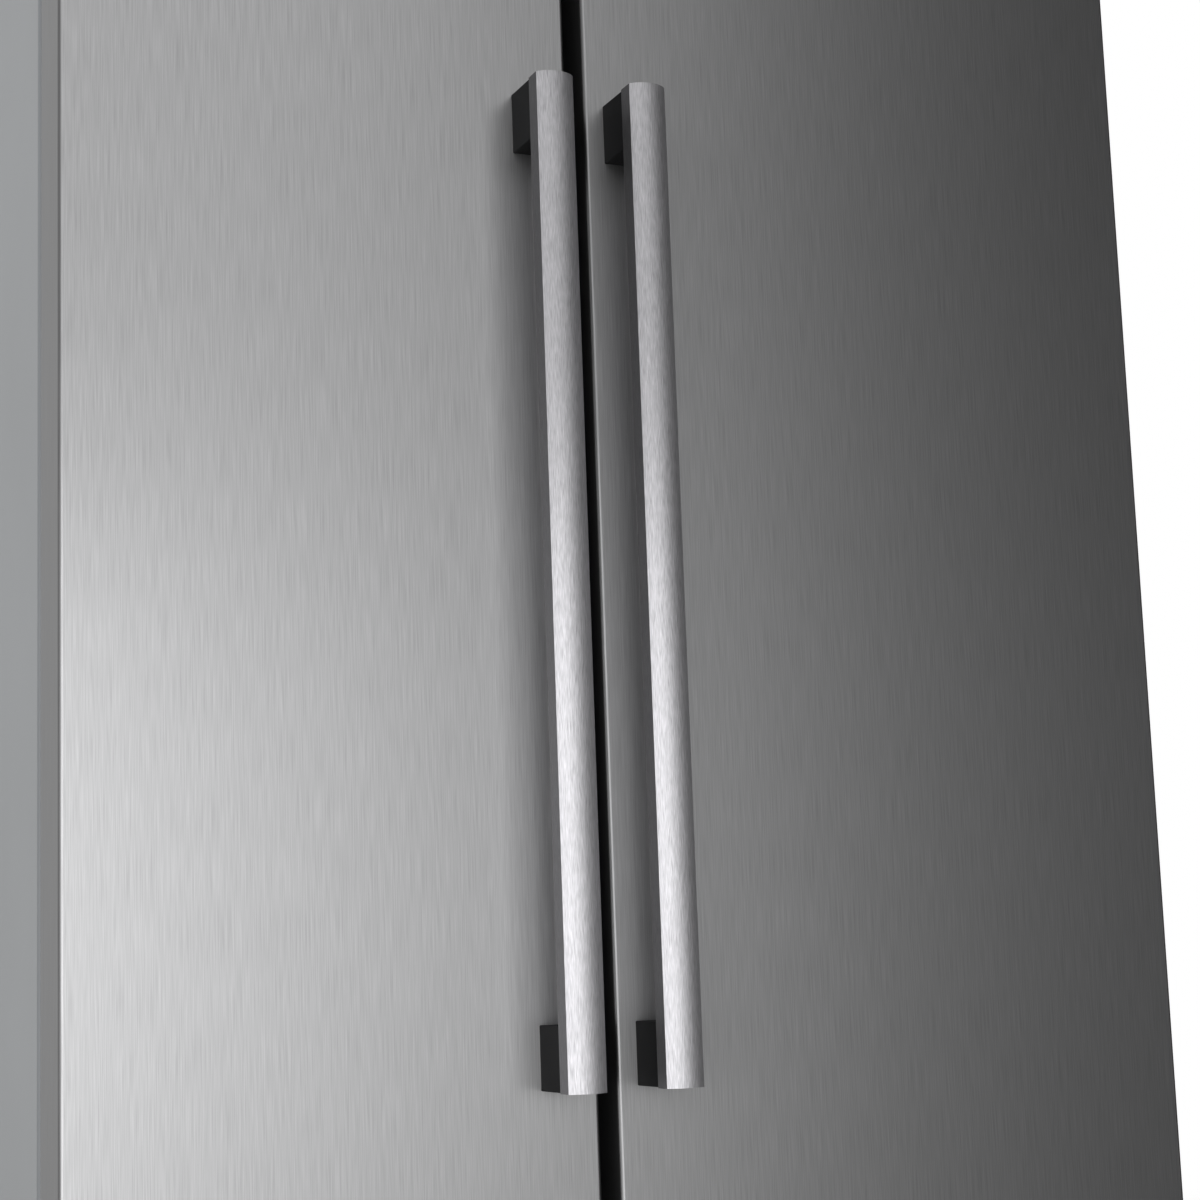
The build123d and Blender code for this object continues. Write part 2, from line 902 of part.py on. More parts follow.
condenser_run = serpentine(
    condenser_left,
    condenser_right,
    machine_middle_y,
    plate_top + condenser_pitch / 2,
    condenser_pitch,
    condenser_passes,
    condenser_tube,
)
with BuildPart() as condenser_coil:
    add(condenser_run)
    inner_run = (
        condenser_left + condenser_pitch / 2 + condenser_tube,
        condenser_right - condenser_pitch / 2 - condenser_tube,
    )
    step = (inner_run[1] - inner_run[0]) / (condenser_fins - 1)
    for index in range(condenser_fins):
        x = inner_run[0] + index * step
        block(
            (x - fin / 2, x + fin / 2),
            (machine_middle_y - condenser_depth / 2, machine_middle_y + condenser_depth / 2),
            (plate_top, plate_top + condenser_passes * condenser_pitch),
        )
condenser_coil.part.label = "condenser_coil"

tray_y = (machine_front_y + tray_front_gap, rear_cover_y - tray_back_gap)
with BuildPart() as drip_tray:
    rounded_block(
        (tray_left, tray_right), tray_y, (plate_top, plate_top + tray_height), tray_corner
    )
    rounded_block(
        (tray_left + tray_wall, tray_right - tray_wall),
        (tray_y[0] + tray_wall, tray_y[1] - tray_wall),
        (plate_top + tray_wall, plate_top + tray_height),
        tray_corner - tray_wall,
        mode=Mode.SUBTRACT,
    )
drip_tray.part.label = "drip_tray"


# Fans: a hub with pitched blades and a shaft that runs in the motor


def fan_rotor(centre, axis_dir, radius):
    """Axial fan rotor; the shaft points along axis_dir out of the hub's back."""
    face = Plane(origin=centre, z_dir=axis_dir)
    with BuildPart() as rotor:
        with BuildSketch(face) as hub:
            Circle(fan_hub)
        extrude(hub.sketch, amount=fan_width)
        fillet(rotor.edges().filter_by(GeomType.CIRCLE), fan_hub_edge)
        with BuildSketch(face.offset(fan_width)) as shaft:
            Circle(fan_shaft)
        extrude(shaft.sketch, amount=fan_shaft_length)
        blade_length = radius - fan_hub / 2
        blade_block = Rot(blade_pitch, 0, 0) * Box(
            blade_length, blade_chord, blade, mode=Mode.PRIVATE
        )
        ring = Pos(0, 0, fan_width / 2) * Cylinder(radius, fan_width, mode=Mode.PRIVATE)
        blades = [
            ring
            & (
                Rot(0, 0, 360 / fan_blades * turn)
                * Pos(fan_hub / 2 + blade_length / 2, 0, fan_width / 2)
                * blade_block
            )
            for turn in range(fan_blades)
        ]
        add([face.location * piece for piece in blades])
    return rotor.part


fan_hole = condenser_fan_radius + fan_tip_gap
fan_plate_half = fan_hole + fan_plate_margin
fan_z = plate_top + fan_plate_half
fan_plate_x = condenser_fan_x + fan_width / 2
condenser_motor_x = condenser_fan_x + fan_width + motor_gap
condenser_fan = fan_rotor(
    (condenser_fan_x, machine_middle_y, fan_z), (1, 0, 0), condenser_fan_radius
)
condenser_fan.label = "condenser_fan"

with BuildPart() as condenser_fan_motor:
    block(
        (fan_plate_x, fan_plate_x + fan_plate),
        (machine_middle_y - fan_plate_half, machine_middle_y + fan_plate_half),
        (plate_top, fan_z + fan_plate_half),
    )
    rod(
        (condenser_fan_x, machine_middle_y, fan_z),
        (1, 0, 0),
        fan_hole,
        2 * fan_width,
        mode=Mode.SUBTRACT,
    )
    arm_z = (fan_z - fan_arm / 2, fan_z + fan_arm / 2)
    post_reach = fan_plate_half - fan_arm_depth
    block(
        (condenser_motor_x, condenser_motor_x + fan_plate),
        (machine_middle_y - fan_plate_half, machine_middle_y + fan_plate_half),
        arm_z,
    )
    for side in (-1, 1):
        block(
            (fan_plate_x, condenser_motor_x + fan_plate),
            (machine_middle_y + side * post_reach, machine_middle_y + side * fan_plate_half),
            arm_z,
        )
    motor_face = (condenser_motor_x, machine_middle_y, fan_z)
    rod(motor_face, (1, 0, 0), motor_radius, motor_length)
    rod(
        motor_face, (1, 0, 0), fan_shaft + shaft_clearance, motor_bore, mode=Mode.SUBTRACT
    )
condenser_fan_motor.part.label = "condenser_fan_motor"


# Cold side, behind the freezer's back cover

cover_back_y = cover_front_y + cover_wall
fan_front_y = cover_back_y + cover_gap
motor_front_y = fan_front_y + fan_width + motor_gap

with BuildPart() as evaporator_cover:
    block(
        (freezer_left + glass_side_clearance, freezer_right - glass_side_clearance),
        (cover_front_y, cover_back_y),
        (hump_top, room_top - liner_corner),
    )
    fillet(evaporator_cover.edges().filter_by(Axis.Y), cover_corner)
    with BuildSketch(Plane.XZ.offset(-cover_back_y)) as louvres:
        with Locations((freezer_middle, evaporator_fan_height)):
            with GridLocations(1.0, 2 * vent_height, 1, 7):
                SlotOverall(2 * evaporator_fan_radius, vent_height)
        with Locations((freezer_middle, hump_top + intake_rise)):
            with GridLocations(vent_spread, 2 * vent_height, 4, 2):
                SlotOverall(vent_length, vent_height)
        with Locations(*[(freezer_middle, z) for z in supply_vents]):
            with GridLocations(vent_spread, 1.0, 3, 1):
                SlotOverall(vent_length, vent_height)
    extrude(louvres.sketch, amount=cover_wall, mode=Mode.SUBTRACT)
evaporator_cover.part.label = "evaporator_cover"

evaporator_fan = fan_rotor(
    (freezer_middle, fan_front_y, evaporator_fan_height), (0, 1, 0), evaporator_fan_radius
)
evaporator_fan.label = "evaporator_fan"

strap_length, strap_depth, strap_height = motor_strap
with BuildPart() as evaporator_fan_motor:
    motor_face = (freezer_middle, motor_front_y, evaporator_fan_height)
    rod(motor_face, (0, 1, 0), motor_radius, room_back_y - motor_front_y)
    block(
        (freezer_middle - strap_length / 2, freezer_middle + strap_length / 2),
        (room_back_y - strap_depth, room_back_y),
        (evaporator_fan_height - strap_height / 2, evaporator_fan_height + strap_height / 2),
    )
    rod(
        motor_face, (0, 1, 0), fan_shaft + shaft_clearance, motor_bore, mode=Mode.SUBTRACT
    )
evaporator_fan_motor.part.label = "evaporator_fan_motor"

coil_y = cover_back_y + cover_gap + fin_depth / 2
evaporator_run = serpentine(
    freezer_middle - evaporator_half,
    freezer_middle + evaporator_half,
    coil_y,
    evaporator_bottom,
    evaporator_pitch,
    evaporator_passes,
    evaporator_tube,
)
with BuildPart() as evaporator_coil:
    add(evaporator_run)
    fin_span = evaporator_half - evaporator_pitch / 2 - evaporator_tube
    coil_top = evaporator_bottom + (evaporator_passes - 1) * evaporator_pitch
    fin_z = (evaporator_bottom - fin_margin, coil_top + fin_margin)
    for index in range(evaporator_fins):
        x = freezer_middle - fin_span + index * 2 * fin_span / (evaporator_fins - 1)
        is_end = index in (0, evaporator_fins - 1)
        back = room_back_y if is_end else coil_y + fin_depth / 2
        block((x - fin / 2, x + fin / 2), (coil_y - fin_depth / 2, back), fin_z)
evaporator_coil.part.label = "evaporator_coil"

with BuildPart() as air_duct:
    block(
        (fridge_middle - duct_width / 2, fridge_middle + duct_width / 2),
        (room_back_y - duct_depth, room_back_y),
        (duct_bottom, duct_top),
    )
    chamfer(air_duct.edges().filter_by(Axis.Z).group_by(Axis.Y)[0], duct_chamfer)
    block(
        (
            fridge_middle - duct_width / 2 + duct_depth,
            fridge_middle + duct_width / 2 - duct_depth,
        ),
        (room_back_y - duct_depth + duct_wall, room_back_y),
        (duct_bottom + duct_wall, duct_top - duct_wall),
        mode=Mode.SUBTRACT,
    )
    with BuildSketch(Plane.XZ.offset(-room_back_y)) as outlets:
        for z in shelf_heights[1:]:
            with Locations((fridge_middle, z - outlet_drop)):
                with GridLocations(1.0, 2 * vent_height, 1, 3):
                    SlotOverall(outlet_length, vent_height)
    extrude(outlets.sketch, amount=duct_depth, mode=Mode.SUBTRACT)
air_duct.part.label = "air_duct"


# Control console under the fridge ceiling, its knob, button and lamp lens

console_y = cabinet_front_y + console_setback
console_low = room_top - console_height
console_face_z = console_low + console_height / 2
knob_x = fridge_middle + knob_x_offset
button_x = fridge_middle + button_x_offset
pocket_depth = button_length - button_proud + 2 * button_travel
lens_y = (console_y + lens_setback, console_y + lens_setback + lens_width)

with BuildPart() as control_panel:
    block(
        (fridge_middle - console_width / 2, fridge_middle + console_width / 2),
        (console_y, console_y + console_depth),
        (console_low, room_top),
    )
    fillet(control_panel.edges().filter_by(Axis.X).group_by(Axis.Z)[0], console_edge)
    fillet(control_panel.edges().filter_by(Axis.Z), console_edge)
    rod(
        (knob_x, console_y, console_face_z),
        (0, 1, 0),
        knob_shaft + shaft_clearance,
        knob_shaft_length,
        mode=Mode.SUBTRACT,
    )
    block(
        (
            button_x - button_width / 2 - button_fit,
            button_x + button_width / 2 + button_fit,
        ),
        (console_y, console_y + pocket_depth),
        (
            console_face_z - button_height / 2 - button_fit,
            console_face_z + button_height / 2 + button_fit,
        ),
        mode=Mode.SUBTRACT,
    )
    block(
        (
            fridge_middle - lens_length / 2 - drawer_fit,
            fridge_middle + lens_length / 2 + drawer_fit,
        ),
        (lens_y[0] - drawer_fit, lens_y[1] + drawer_fit),
        (console_low, console_low + lens_depth),
        mode=Mode.SUBTRACT,
    )
control_panel.part.label = "control_panel"

with BuildPart() as lamp_lenses:
    block(
        (fridge_middle - lens_length / 2, fridge_middle + lens_length / 2),
        lens_y,
        (console_low, console_low + lens_depth),
    )
    block(
        (freezer_middle - lens_length / 2, freezer_middle + lens_length / 2),
        lens_y,
        (room_top - freezer_lens_depth, room_top),
    )
    fillet(lamp_lenses.edges().filter_by(Axis.Z), lens_corner)
lamp_lenses.part.label = "lamp_lenses"

knob_back_y = console_y - seal_clearance
with BuildPart() as thermostat_knob:
    with BuildSketch(Plane.XZ.offset(-knob_back_y)) as dial:
        with Locations((knob_x, console_face_z)):
            Circle(knob_radius)
    extrude(dial.sketch, amount=knob_dial)
    with BuildSketch(Plane.XZ.offset(-knob_back_y + knob_dial)) as grip:
        with Locations((knob_x, console_face_z)):
            SlotOverall(2 * knob_radius - knob_edge, knob_grip, rotation=90)
    extrude(grip.sketch, amount=knob_depth - knob_dial)
    fillet(thermostat_knob.edges().group_by(Axis.Y)[0], knob_edge)
    pointer_width, pointer_length, pointer_depth = knob_pointer
    with BuildSketch(Plane.XZ.offset(-knob_back_y + knob_depth)) as pointer:
        with Locations((knob_x, console_face_z + knob_radius - knob_edge - pointer_length / 2)):
            Rectangle(pointer_width, pointer_length)
    extrude(pointer.sketch, amount=-pointer_depth, mode=Mode.SUBTRACT)
    rod((knob_x, knob_back_y, console_face_z), (0, 1, 0), knob_shaft, knob_shaft_length)
thermostat_knob.part.label = "thermostat_knob"

with BuildPart() as fast_freeze_button:
    block(
        (button_x - button_width / 2, button_x + button_width / 2),
        (console_y - button_proud, console_y - button_proud + button_length),
        (console_face_z - button_height / 2, console_face_z + button_height / 2),
    )
    fillet(fast_freeze_button.edges().group_by(Axis.Y)[0], button_edge)
fast_freeze_button.part.label = "fast_freeze_button"


# Glass shelves and their trims


def shelf_plates(x_low, x_high, shelf_back):
    """Toughened glass plates, one on each pair of ledges."""
    with BuildPart() as plates:
        for z in shelf_heights:
            rounded_block(
                (x_low + glass_side_clearance, x_high - glass_side_clearance),
                (shelf_front_y + trim_depth - trim_overlap, shelf_back),
                (z, z + glass),
                glass_corner,
            )
    return plates.part


fridge_shelf_glass = shelf_plates(fridge_left, fridge_right, fridge_shelf_back)
fridge_shelf_glass.label = "fridge_shelf_glass"
freezer_shelf_glass = shelf_plates(freezer_left, freezer_right, freezer_shelf_back)
freezer_shelf_glass.label = "freezer_shelf_glass"

trim_under = (trim_height - glass) / 2
trim_back_y = shelf_front_y + trim_depth
with BuildPart() as shelf_trims:
    for x_low, x_high in ((fridge_left, fridge_right), (freezer_left, freezer_right)):
        for z in shelf_heights:
            block(
                (x_low + glass_side_clearance, x_high - glass_side_clearance),
                (shelf_front_y, trim_back_y),
                (z - trim_under, z + glass + trim_under),
            )
    fillet(shelf_trims.edges().filter_by(Axis.X).group_by(Axis.Y)[0], trim_edge)
    for z in shelf_heights:
        block(
            (freezer_left, fridge_right),
            (trim_back_y - trim_overlap, trim_back_y),
            (z, z + glass),
            mode=Mode.SUBTRACT,
        )
shelf_trims.part.label = "shelf_trims"


# Drawers hang by their rims on the liner's ledges


def drawer(x_low, x_high, z_low, z_high, back_y):
    """Open drawer with a thick face, a grip lip and side rims."""
    body = (
        x_low + ledge_reach + drawer_side_clearance,
        x_high - ledge_reach - drawer_side_clearance,
    )
    face = (x_low + drawer_side_clearance, x_high - drawer_side_clearance)
    face_y = shelf_front_y + drawer_grip
    body_y = face_y + drawer_face
    with BuildPart() as cavity:
        block(
            (body[0] + drawer_wall, body[1] - drawer_wall),
            (body_y, back_y - drawer_wall),
            (z_low + drawer_wall, z_high),
        )
        fillet(
            cavity.edges().filter_by(Axis.Z).group_by(Axis.Y)[-1],
            drawer_corner - drawer_wall,
        )
        fillet(
            cavity.edges().filter_by(Axis.Y).group_by(Axis.Z)[0],
            drawer_foot_radius - drawer_wall,
        )
    with BuildPart() as box:
        block(body, (face_y, back_y), (z_low, z_high))
        fillet(box.edges().filter_by(Axis.Z).group_by(Axis.Y)[-1], drawer_corner)
        fillet(box.edges().filter_by(Axis.Y).group_by(Axis.Z)[0], drawer_foot_radius)
        block(face, (face_y, body_y), (z_low, z_high))
        fillet(box.edges().filter_by(Axis.Z).group_by(Axis.Y)[0], drawer_face_edge)
        block(
            face, (body_y, back_y - drawer_corner), (z_high - drawer_rim, z_high)
        )
        block(
            (body[0] + drawer_grip_inset, body[1] - drawer_grip_inset),
            (face_y - drawer_grip, face_y),
            (z_high - drawer_grip_height, z_high),
        )
        fillet(box.edges().filter_by(Axis.X).group_by(Axis.Y)[0], drawer_grip_edge)
        add(cavity.part, mode=Mode.SUBTRACT)
    return box.part


upper_levels = (upper_drawer_bottom, upper_drawer_top)
lower_levels = (lower_drawer_bottom, lower_drawer_top)
lower_back_y = hump_y - drawer_back_gap
freezer_back_y = cover_front_y - drawer_back_gap

upper_crisper = drawer(fridge_left, fridge_right, *upper_levels, fridge_shelf_back)
upper_crisper.label = "upper_crisper"
lower_crisper = drawer(fridge_left, fridge_right, *lower_levels, lower_back_y)
lower_crisper.label = "lower_crisper"
upper_freezer_drawer = drawer(
    freezer_left, freezer_right, *upper_levels, freezer_back_y
)
upper_freezer_drawer.label = "upper_freezer_drawer"
lower_freezer_drawer = drawer(freezer_left, freezer_right, *lower_levels, lower_back_y)
lower_freezer_drawer.label = "lower_freezer_drawer"


# Door hinges: upper plates with pins, lower brackets with pins and collars


def hinge_eye_plate(side, near_y, far_y, z):
    """Flat hinge plate: a round eye about the pin, drawn out to the cabinet."""
    plate_middle = side * (pin_x - hinge_width / 2 + hinge_eye)
    with BuildSketch(Plane.XY.offset(z)) as outline:
        with Locations((side * pin_x, pin_y)):
            Circle(hinge_eye)
        with Locations((plate_middle, (near_y + far_y) / 2)):
            RectangleRounded(hinge_width, far_y - near_y, hinge_corner)
        make_hull()
    extrude(outline.sketch, amount=hinge_plate, dir=(0, 0, 1))


with BuildPart() as upper_hinges:
    for side in (-1, 1):
        hinge_eye_plate(side, cabinet_front_y, cabinet_front_y + hinge_length, cabinet_top)
        rod(
            (side * pin_x, pin_y, cabinet_top),
            (0, 0, -1),
            pin_radius,
            cabinet_top - door_top + pin_reach,
        )
    for x, y in upper_screw_spots:
        rod(
            (x, y, cabinet_top + hinge_plate),
            (0, 0, -1),
            screw_radius + screw_clearance,
            hinge_plate,
            mode=Mode.SUBTRACT,
        )
upper_hinges.part.label = "upper_hinges"

lower_plate_z = door_bottom - lower_hinge_drop
with BuildPart() as lower_hinges:
    for side in (-1, 1):
        hinge_eye_plate(
            side, cabinet_front_y - lower_hinge_flange, cabinet_front_y, lower_plate_z
        )
        block(
            (side * (pin_x + hinge_eye), side * (pin_x + hinge_eye - hinge_width)),
            (cabinet_front_y - hinge_plate, cabinet_front_y),
            (skirt + lower_leg_gap, lower_plate_z + hinge_plate),
        )
        rod(
            (side * pin_x, pin_y, lower_plate_z),
            (0, 0, 1),
            collar_radius,
            door_bottom - lower_plate_z - collar_clearance,
        )
        rod(
            (side * pin_x, pin_y, lower_plate_z),
            (0, 0, 1),
            pin_radius,
            door_bottom - lower_plate_z + pin_reach,
        )
    for x, z in lower_screw_spots:
        rod(
            (x, cabinet_front_y - hinge_plate, z),
            (0, 1, 0),
            screw_radius + screw_clearance,
            hinge_plate,
            mode=Mode.SUBTRACT,
        )
lower_hinges.part.label = "lower_hinges"

def driver_socket(plane):
    """Sinks a six-sided driver socket into a screw's head."""
    with BuildSketch(plane) as socket:
        RegularPolygon(screw_socket, 6)
    extrude(socket.sketch, amount=-screw_socket_depth, mode=Mode.SUBTRACT)


with BuildPart() as hinge_screws:
    for x, y in upper_screw_spots:
        top = cabinet_top + hinge_plate
        rod((x, y, top), (0, 0, 1), screw_head_radius, screw_head)
        rod((x, y, top), (0, 0, -1), screw_radius, screw_depth)
        driver_socket(Plane((x, y, top + screw_head)))
    for x, z in lower_screw_spots:
        outer = cabinet_front_y - hinge_plate
        rod((x, outer, z), (0, -1, 0), screw_head_radius, screw_head)
        rod((x, outer, z), (0, 1, 0), screw_radius, screw_depth)
        driver_socket(Plane((x, outer - screw_head, z), z_dir=(0, -1, 0)))
hinge_screws.part.label = "hinge_screws"

cover_outer_x = pin_x + hinge_eye + hinge_cover_gap
cover_inner_x = pin_x + hinge_eye - hinge_width - hinge_cover_gap - hinge_cover_wall
cover_y = (
    pin_y - hinge_eye - hinge_cover_gap,
    cabinet_front_y + hinge_length + hinge_cover_gap + hinge_cover_wall,
)
with BuildPart() as hinge_covers:
    for side in (-1, 1):
        rounded_block(
            (side * cover_outer_x, side * cover_inner_x),
            cover_y,
            (cabinet_top, cabinet_top + hinge_cover_height),
            hinge_cover_corner,
        )
    fillet(hinge_covers.edges().group_by(Axis.Z)[-1], hinge_cover_edge)
    for side in (-1, 1):
        rounded_block(
            (
                side * (cover_outer_x - hinge_cover_wall),
                side * (cover_inner_x + hinge_cover_wall),
            ),
            (cover_y[0] + hinge_cover_wall, cover_y[1] - hinge_cover_wall),
            (cabinet_top, cabinet_top + hinge_cover_height - hinge_cover_roof),
            hinge_cover_corner - hinge_cover_wall,
            mode=Mode.SUBTRACT,
        )
hinge_covers.part.label = "hinge_covers"


# Doors


def door_edges(side):
    """The x values of a door's left and right edges."""
    if side < 0:
        return -half_width, seam_x - door_gap / 2
    return seam_x + door_gap / 2, half_width


def door_skin(side):
    """Stainless skin: front, two folded sides and narrow returns at the back."""
    x_low, x_high = door_edges(side)
    half = sheet / 2
    back = door_back_y - half
    front = door_front_y + half
    points = [
        (x_low + door_return, back),
        (x_low + half, back),
        (x_low + half, front),
        (x_high - half, front),
        (x_high - half, back),
        (x_high - door_return, back),
    ]
    with BuildPart() as skin:
        folded_sheet(
            points,
            [tight_bend, bend, bend, tight_bend],
            door_bottom + cap_lip,
            door_top - cap_lip,
        )
    return skin.part


def door_core(side, z_low, z_high):
    """The space inside a door's skin, in front of its liner."""
    x_low, x_high = door_edges(side)
    with BuildSketch(Plane.XY.offset(z_low)) as core:
        with Locations(
            ((x_low + x_high) / 2, (door_front_y + sheet + liner_front_y) / 2)
        ):
            Rectangle(x_high - x_low - 2 * sheet, liner_front_y - door_front_y - sheet)
        fillet(core.vertices().group_by(Axis.Y)[0], bend)
    extrude(core.sketch, amount=z_high - z_low, dir=(0, 0, 1))


def rim_limits(side):
    """Outer limits of the raised rim on a door's inner face."""
    if side < 0:
        return freezer_left + rim_inset, freezer_right - rim_inset
    return fridge_left + rim_inset, fridge_right - rim_inset


rim_low = room_bottom + rim_inset
rim_high = room_top - rim_inset
rim_back_y = cabinet_front_y + rim_reach


def rim_ring(side, wall):
    """The rim as a frame, thinned by a wall on every face."""
    x_low, x_high = rim_limits(side)
    with BuildSketch(Plane.XZ.offset(-liner_front_y)) as ring:
        with Locations(((x_low + x_high) / 2, (rim_low + rim_high) / 2)):
            RectangleRounded(
                x_high - x_low - 2 * wall, rim_high - rim_low - 2 * wall, rim_corner - wall
            )
            RectangleRounded(
                x_high - x_low - 2 * rim_width + 2 * wall,
                rim_high - rim_low - 2 * rim_width + 2 * wall,
                rim_inner_corner,
                mode=Mode.SUBTRACT,
            )
    extrude(ring.sketch, amount=-(rim_back_y - wall - liner_front_y))


def door_foam(side):
    """Foam that fills a door and its rim."""
    with BuildPart() as foam:
        door_core(side, door_bottom + cap_depth, door_top - cap_depth)
        rim_ring(side, liner_wall)
    return foam.part


def door_liner(side, levels):
    """Moulded inner face with a hollow rim and lugs that carry the bins."""
    x_low, x_high = door_edges(side)
    rim_left, rim_right = rim_limits(side)
    with BuildPart() as rim:
        rim_ring(side, 0)
        fillet(rim.edges().group_by(Axis.Y)[-1], rim_edge)
    foam = door_foam(side)
    with BuildPart() as inner:
        block(
            (x_low + sheet, x_high - sheet),
            (liner_front_y, liner_back_y),
            (door_bottom + cap_lip, door_top - cap_lip),
        )
        fillet(inner.edges().filter_by(Axis.Z).group_by(Axis.Y)[-1], tight_bend)
        add(rim.part)
        add(foam, mode=Mode.SUBTRACT)
        for z in levels:
            for wall_x, inward in (
                (rim_left + rim_width, 1),
                (rim_right - rim_width, -1),
            ):
                block(
                    (wall_x - inward * liner_wall / 2, wall_x + inward * lug_reach),
                    (liner_back_y - liner_wall / 2, rim_back_y - lug_setback),
                    (z - lug_height, z),
                )
    return inner.part


def door_caps(side):
    """Moulded caps at the top and bottom of a door, each with its hinge bush."""
    x_low, x_high = door_edges(side)
    with BuildPart() as caps:
        for lip_low, plug in (
            (door_bottom, (door_bottom + cap_lip, door_bottom + cap_depth)),
            (door_top - cap_lip, (door_top - cap_depth, door_top - cap_lip)),
        ):
            rounded_block(
                (x_low, x_high),
                (door_front_y, door_back_y),
                (lip_low, lip_low + cap_lip),
                bend,
            )
            door_core(side, *plug)
        for z, up in ((door_bottom, 1), (door_top, -1)):
            rod(
                (side * pin_x, pin_y, z),
                (0, 0, up),
                pin_radius + pin_clearance,
                cap_depth,
                mode=Mode.SUBTRACT,
            )
    return caps.part


def door_gasket(side):
    """Magnetic seal: a soft frame between the door's liner and the cabinet."""
    x_low, x_high = door_edges(side)
    if side < 0:
        outer = (x_low + gasket_hinge_inset, x_high - gasket_free_inset)
    else:
        outer = (x_low + gasket_free_inset, x_high - gasket_hinge_inset)
    width = outer[1] - outer[0]
    height = door_top - door_bottom - 2 * gasket_end_inset
    with BuildPart() as seal:
        with BuildSketch(Plane.XZ.offset(-liner_back_y)) as frame:
            with Locations((sum(outer) / 2, (door_top + door_bottom) / 2)):
                RectangleRounded(width, height, gasket_corner)
                RectangleRounded(
                    width - 2 * gasket_width,
                    height - 2 * gasket_width,
                    gasket_corner,
                    mode=Mode.SUBTRACT,
                )
        extrude(
            frame.sketch, amount=-(cabinet_front_y - seal_clearance - liner_back_y)
        )
    return seal.part


bar_radius = (bar_width**2 / 4 + bar_arch**2) / (2 * bar_arch)


def bar_section(middle_x, inset):
    """Cross-section of a handle bar, inset all round: flat back, flanks and an arch."""
    half = bar_width / 2 - inset
    arch_drop = math.sqrt((bar_radius - inset) ** 2 - half**2)
    shoulder_y = front_y + bar_radius - arch_drop
    with BuildLine() as outline:
        Polyline(
            (middle_x - half, shoulder_y),
            (middle_x - half, bar_back_y - inset),
            (middle_x + half, bar_back_y - inset),
            (middle_x + half, shoulder_y),
        )
        ThreePointArc(
            (middle_x + half, shoulder_y),
            (middle_x, front_y + inset),
            (middle_x - half, shoulder_y),
        )
    return outline.line


def handle_x(side):
    return seam_x + side * handle_pitch / 2


bar_ends = ((handle_bottom, 1), (handle_top, -1))
plug_depth = bracket_height - plug_setback


def handle_bar(side):
    """Hollow aluminium extrusion, with a notch in its back wall at each end."""
    middle = handle_x(side)
    with BuildPart() as bar:
        with BuildSketch(Plane.XY.offset(handle_bottom)) as outer:
            make_face(bar_section(middle, 0))
            fillet(outer.vertices(), bar_edge)
        extrude(outer.sketch, amount=handle_length, dir=(0, 0, 1))
        with BuildSketch(Plane.XY.offset(handle_bottom)) as hollow:
            make_face(bar_section(middle, bar_wall))
        extrude(
            hollow.sketch, amount=handle_length, dir=(0, 0, 1), mode=Mode.SUBTRACT
        )
        for z, up in bar_ends:
            block(
                (middle - plug_neck / 2, middle + plug_neck / 2),
                (bar_back_y - 2 * bar_wall, bar_back_y),
                (z, z + up * (plug_depth + plug_fit)),
                mode=Mode.SUBTRACT,
            )
    return bar.part


def handle_bracket(side, z, up):
    """Moulded bracket: a block on the door with a plug that fills the bar's end."""
    middle = handle_x(side)
    half = bar_width / 2 - bracket_inset
    end = z + up * bracket_end_inset
    far = z + up * bracket_height
    plug_far = z + up * plug_depth
    with BuildPart() as bracket:
        block((middle - half, middle + half), (bar_back_y, door_front_y), (end, far))
        fillet(bracket.edges().filter_by(Axis.Y), bracket_edge)
        with BuildSketch(Plane.XY.offset(min(end, plug_far))) as plug:
            make_face(bar_section(middle, bar_wall + plug_fit))
        extrude(plug.sketch, amount=abs(plug_far - end), dir=(0, 0, 1))
        block(
            (middle - plug_neck / 2 + plug_fit, middle + plug_neck / 2 - plug_fit),
            (bar_back_y - 2 * bar_wall, bar_back_y),
            (end, plug_far),
        )
    return bracket.part


# Door bins stand on the liner's lugs, between the rim's two uprights


def bin_limits(side):
    rim_left, rim_right = rim_limits(side)
    return rim_left + rim_width + bin_fit, rim_right - rim_width - bin_fit


bin_back_y = liner_back_y + bin_fit


def bin_shell(x, z, height, front_height):
    """Open bin: floor, front and two ends; the door's liner closes its back."""
    with BuildSketch(Plane.XY.offset(z)) as outer:
        with Locations((sum(x) / 2, (bin_back_y + bin_front_y) / 2)):
            Rectangle(x[1] - x[0], bin_front_y - bin_back_y)
        fillet(outer.vertices().group_by(Axis.Y)[-1], bin_corner)
    with BuildSketch(Plane.XY.offset(z + bin_wall)) as inner:
        with Locations(
            (sum(x) / 2, (bin_back_y + bin_front_y - bin_wall) / 2 - bin_wall)
        ):
            Rectangle(
                x[1] - x[0] - 2 * bin_wall, bin_front_y - bin_back_y + bin_wall
            )
        fillet(inner.vertices().group_by(Axis.Y)[-1], bin_corner - bin_wall)
    with BuildPart() as shell:
        extrude(outer.sketch, amount=height, dir=(0, 0, 1))
        extrude(inner.sketch, amount=height, dir=(0, 0, 1), mode=Mode.SUBTRACT)
        if front_height < height:
            block(
                x,
                (bin_front_y - bin_corner, bin_front_y + bin_wall),
                (z + front_height, z + height),
                mode=Mode.SUBTRACT,
            )
    return shell.part


def door_bins(side, levels):
    """The open bins of one door, the lowest one taller for bottles."""
    x = bin_limits(side)
    with BuildPart() as bins:
        for index, z in enumerate(levels):
            height = bottle_bin_height if index == 0 else bin_height
            add(bin_shell(x, z, height, height))
    return bins.part


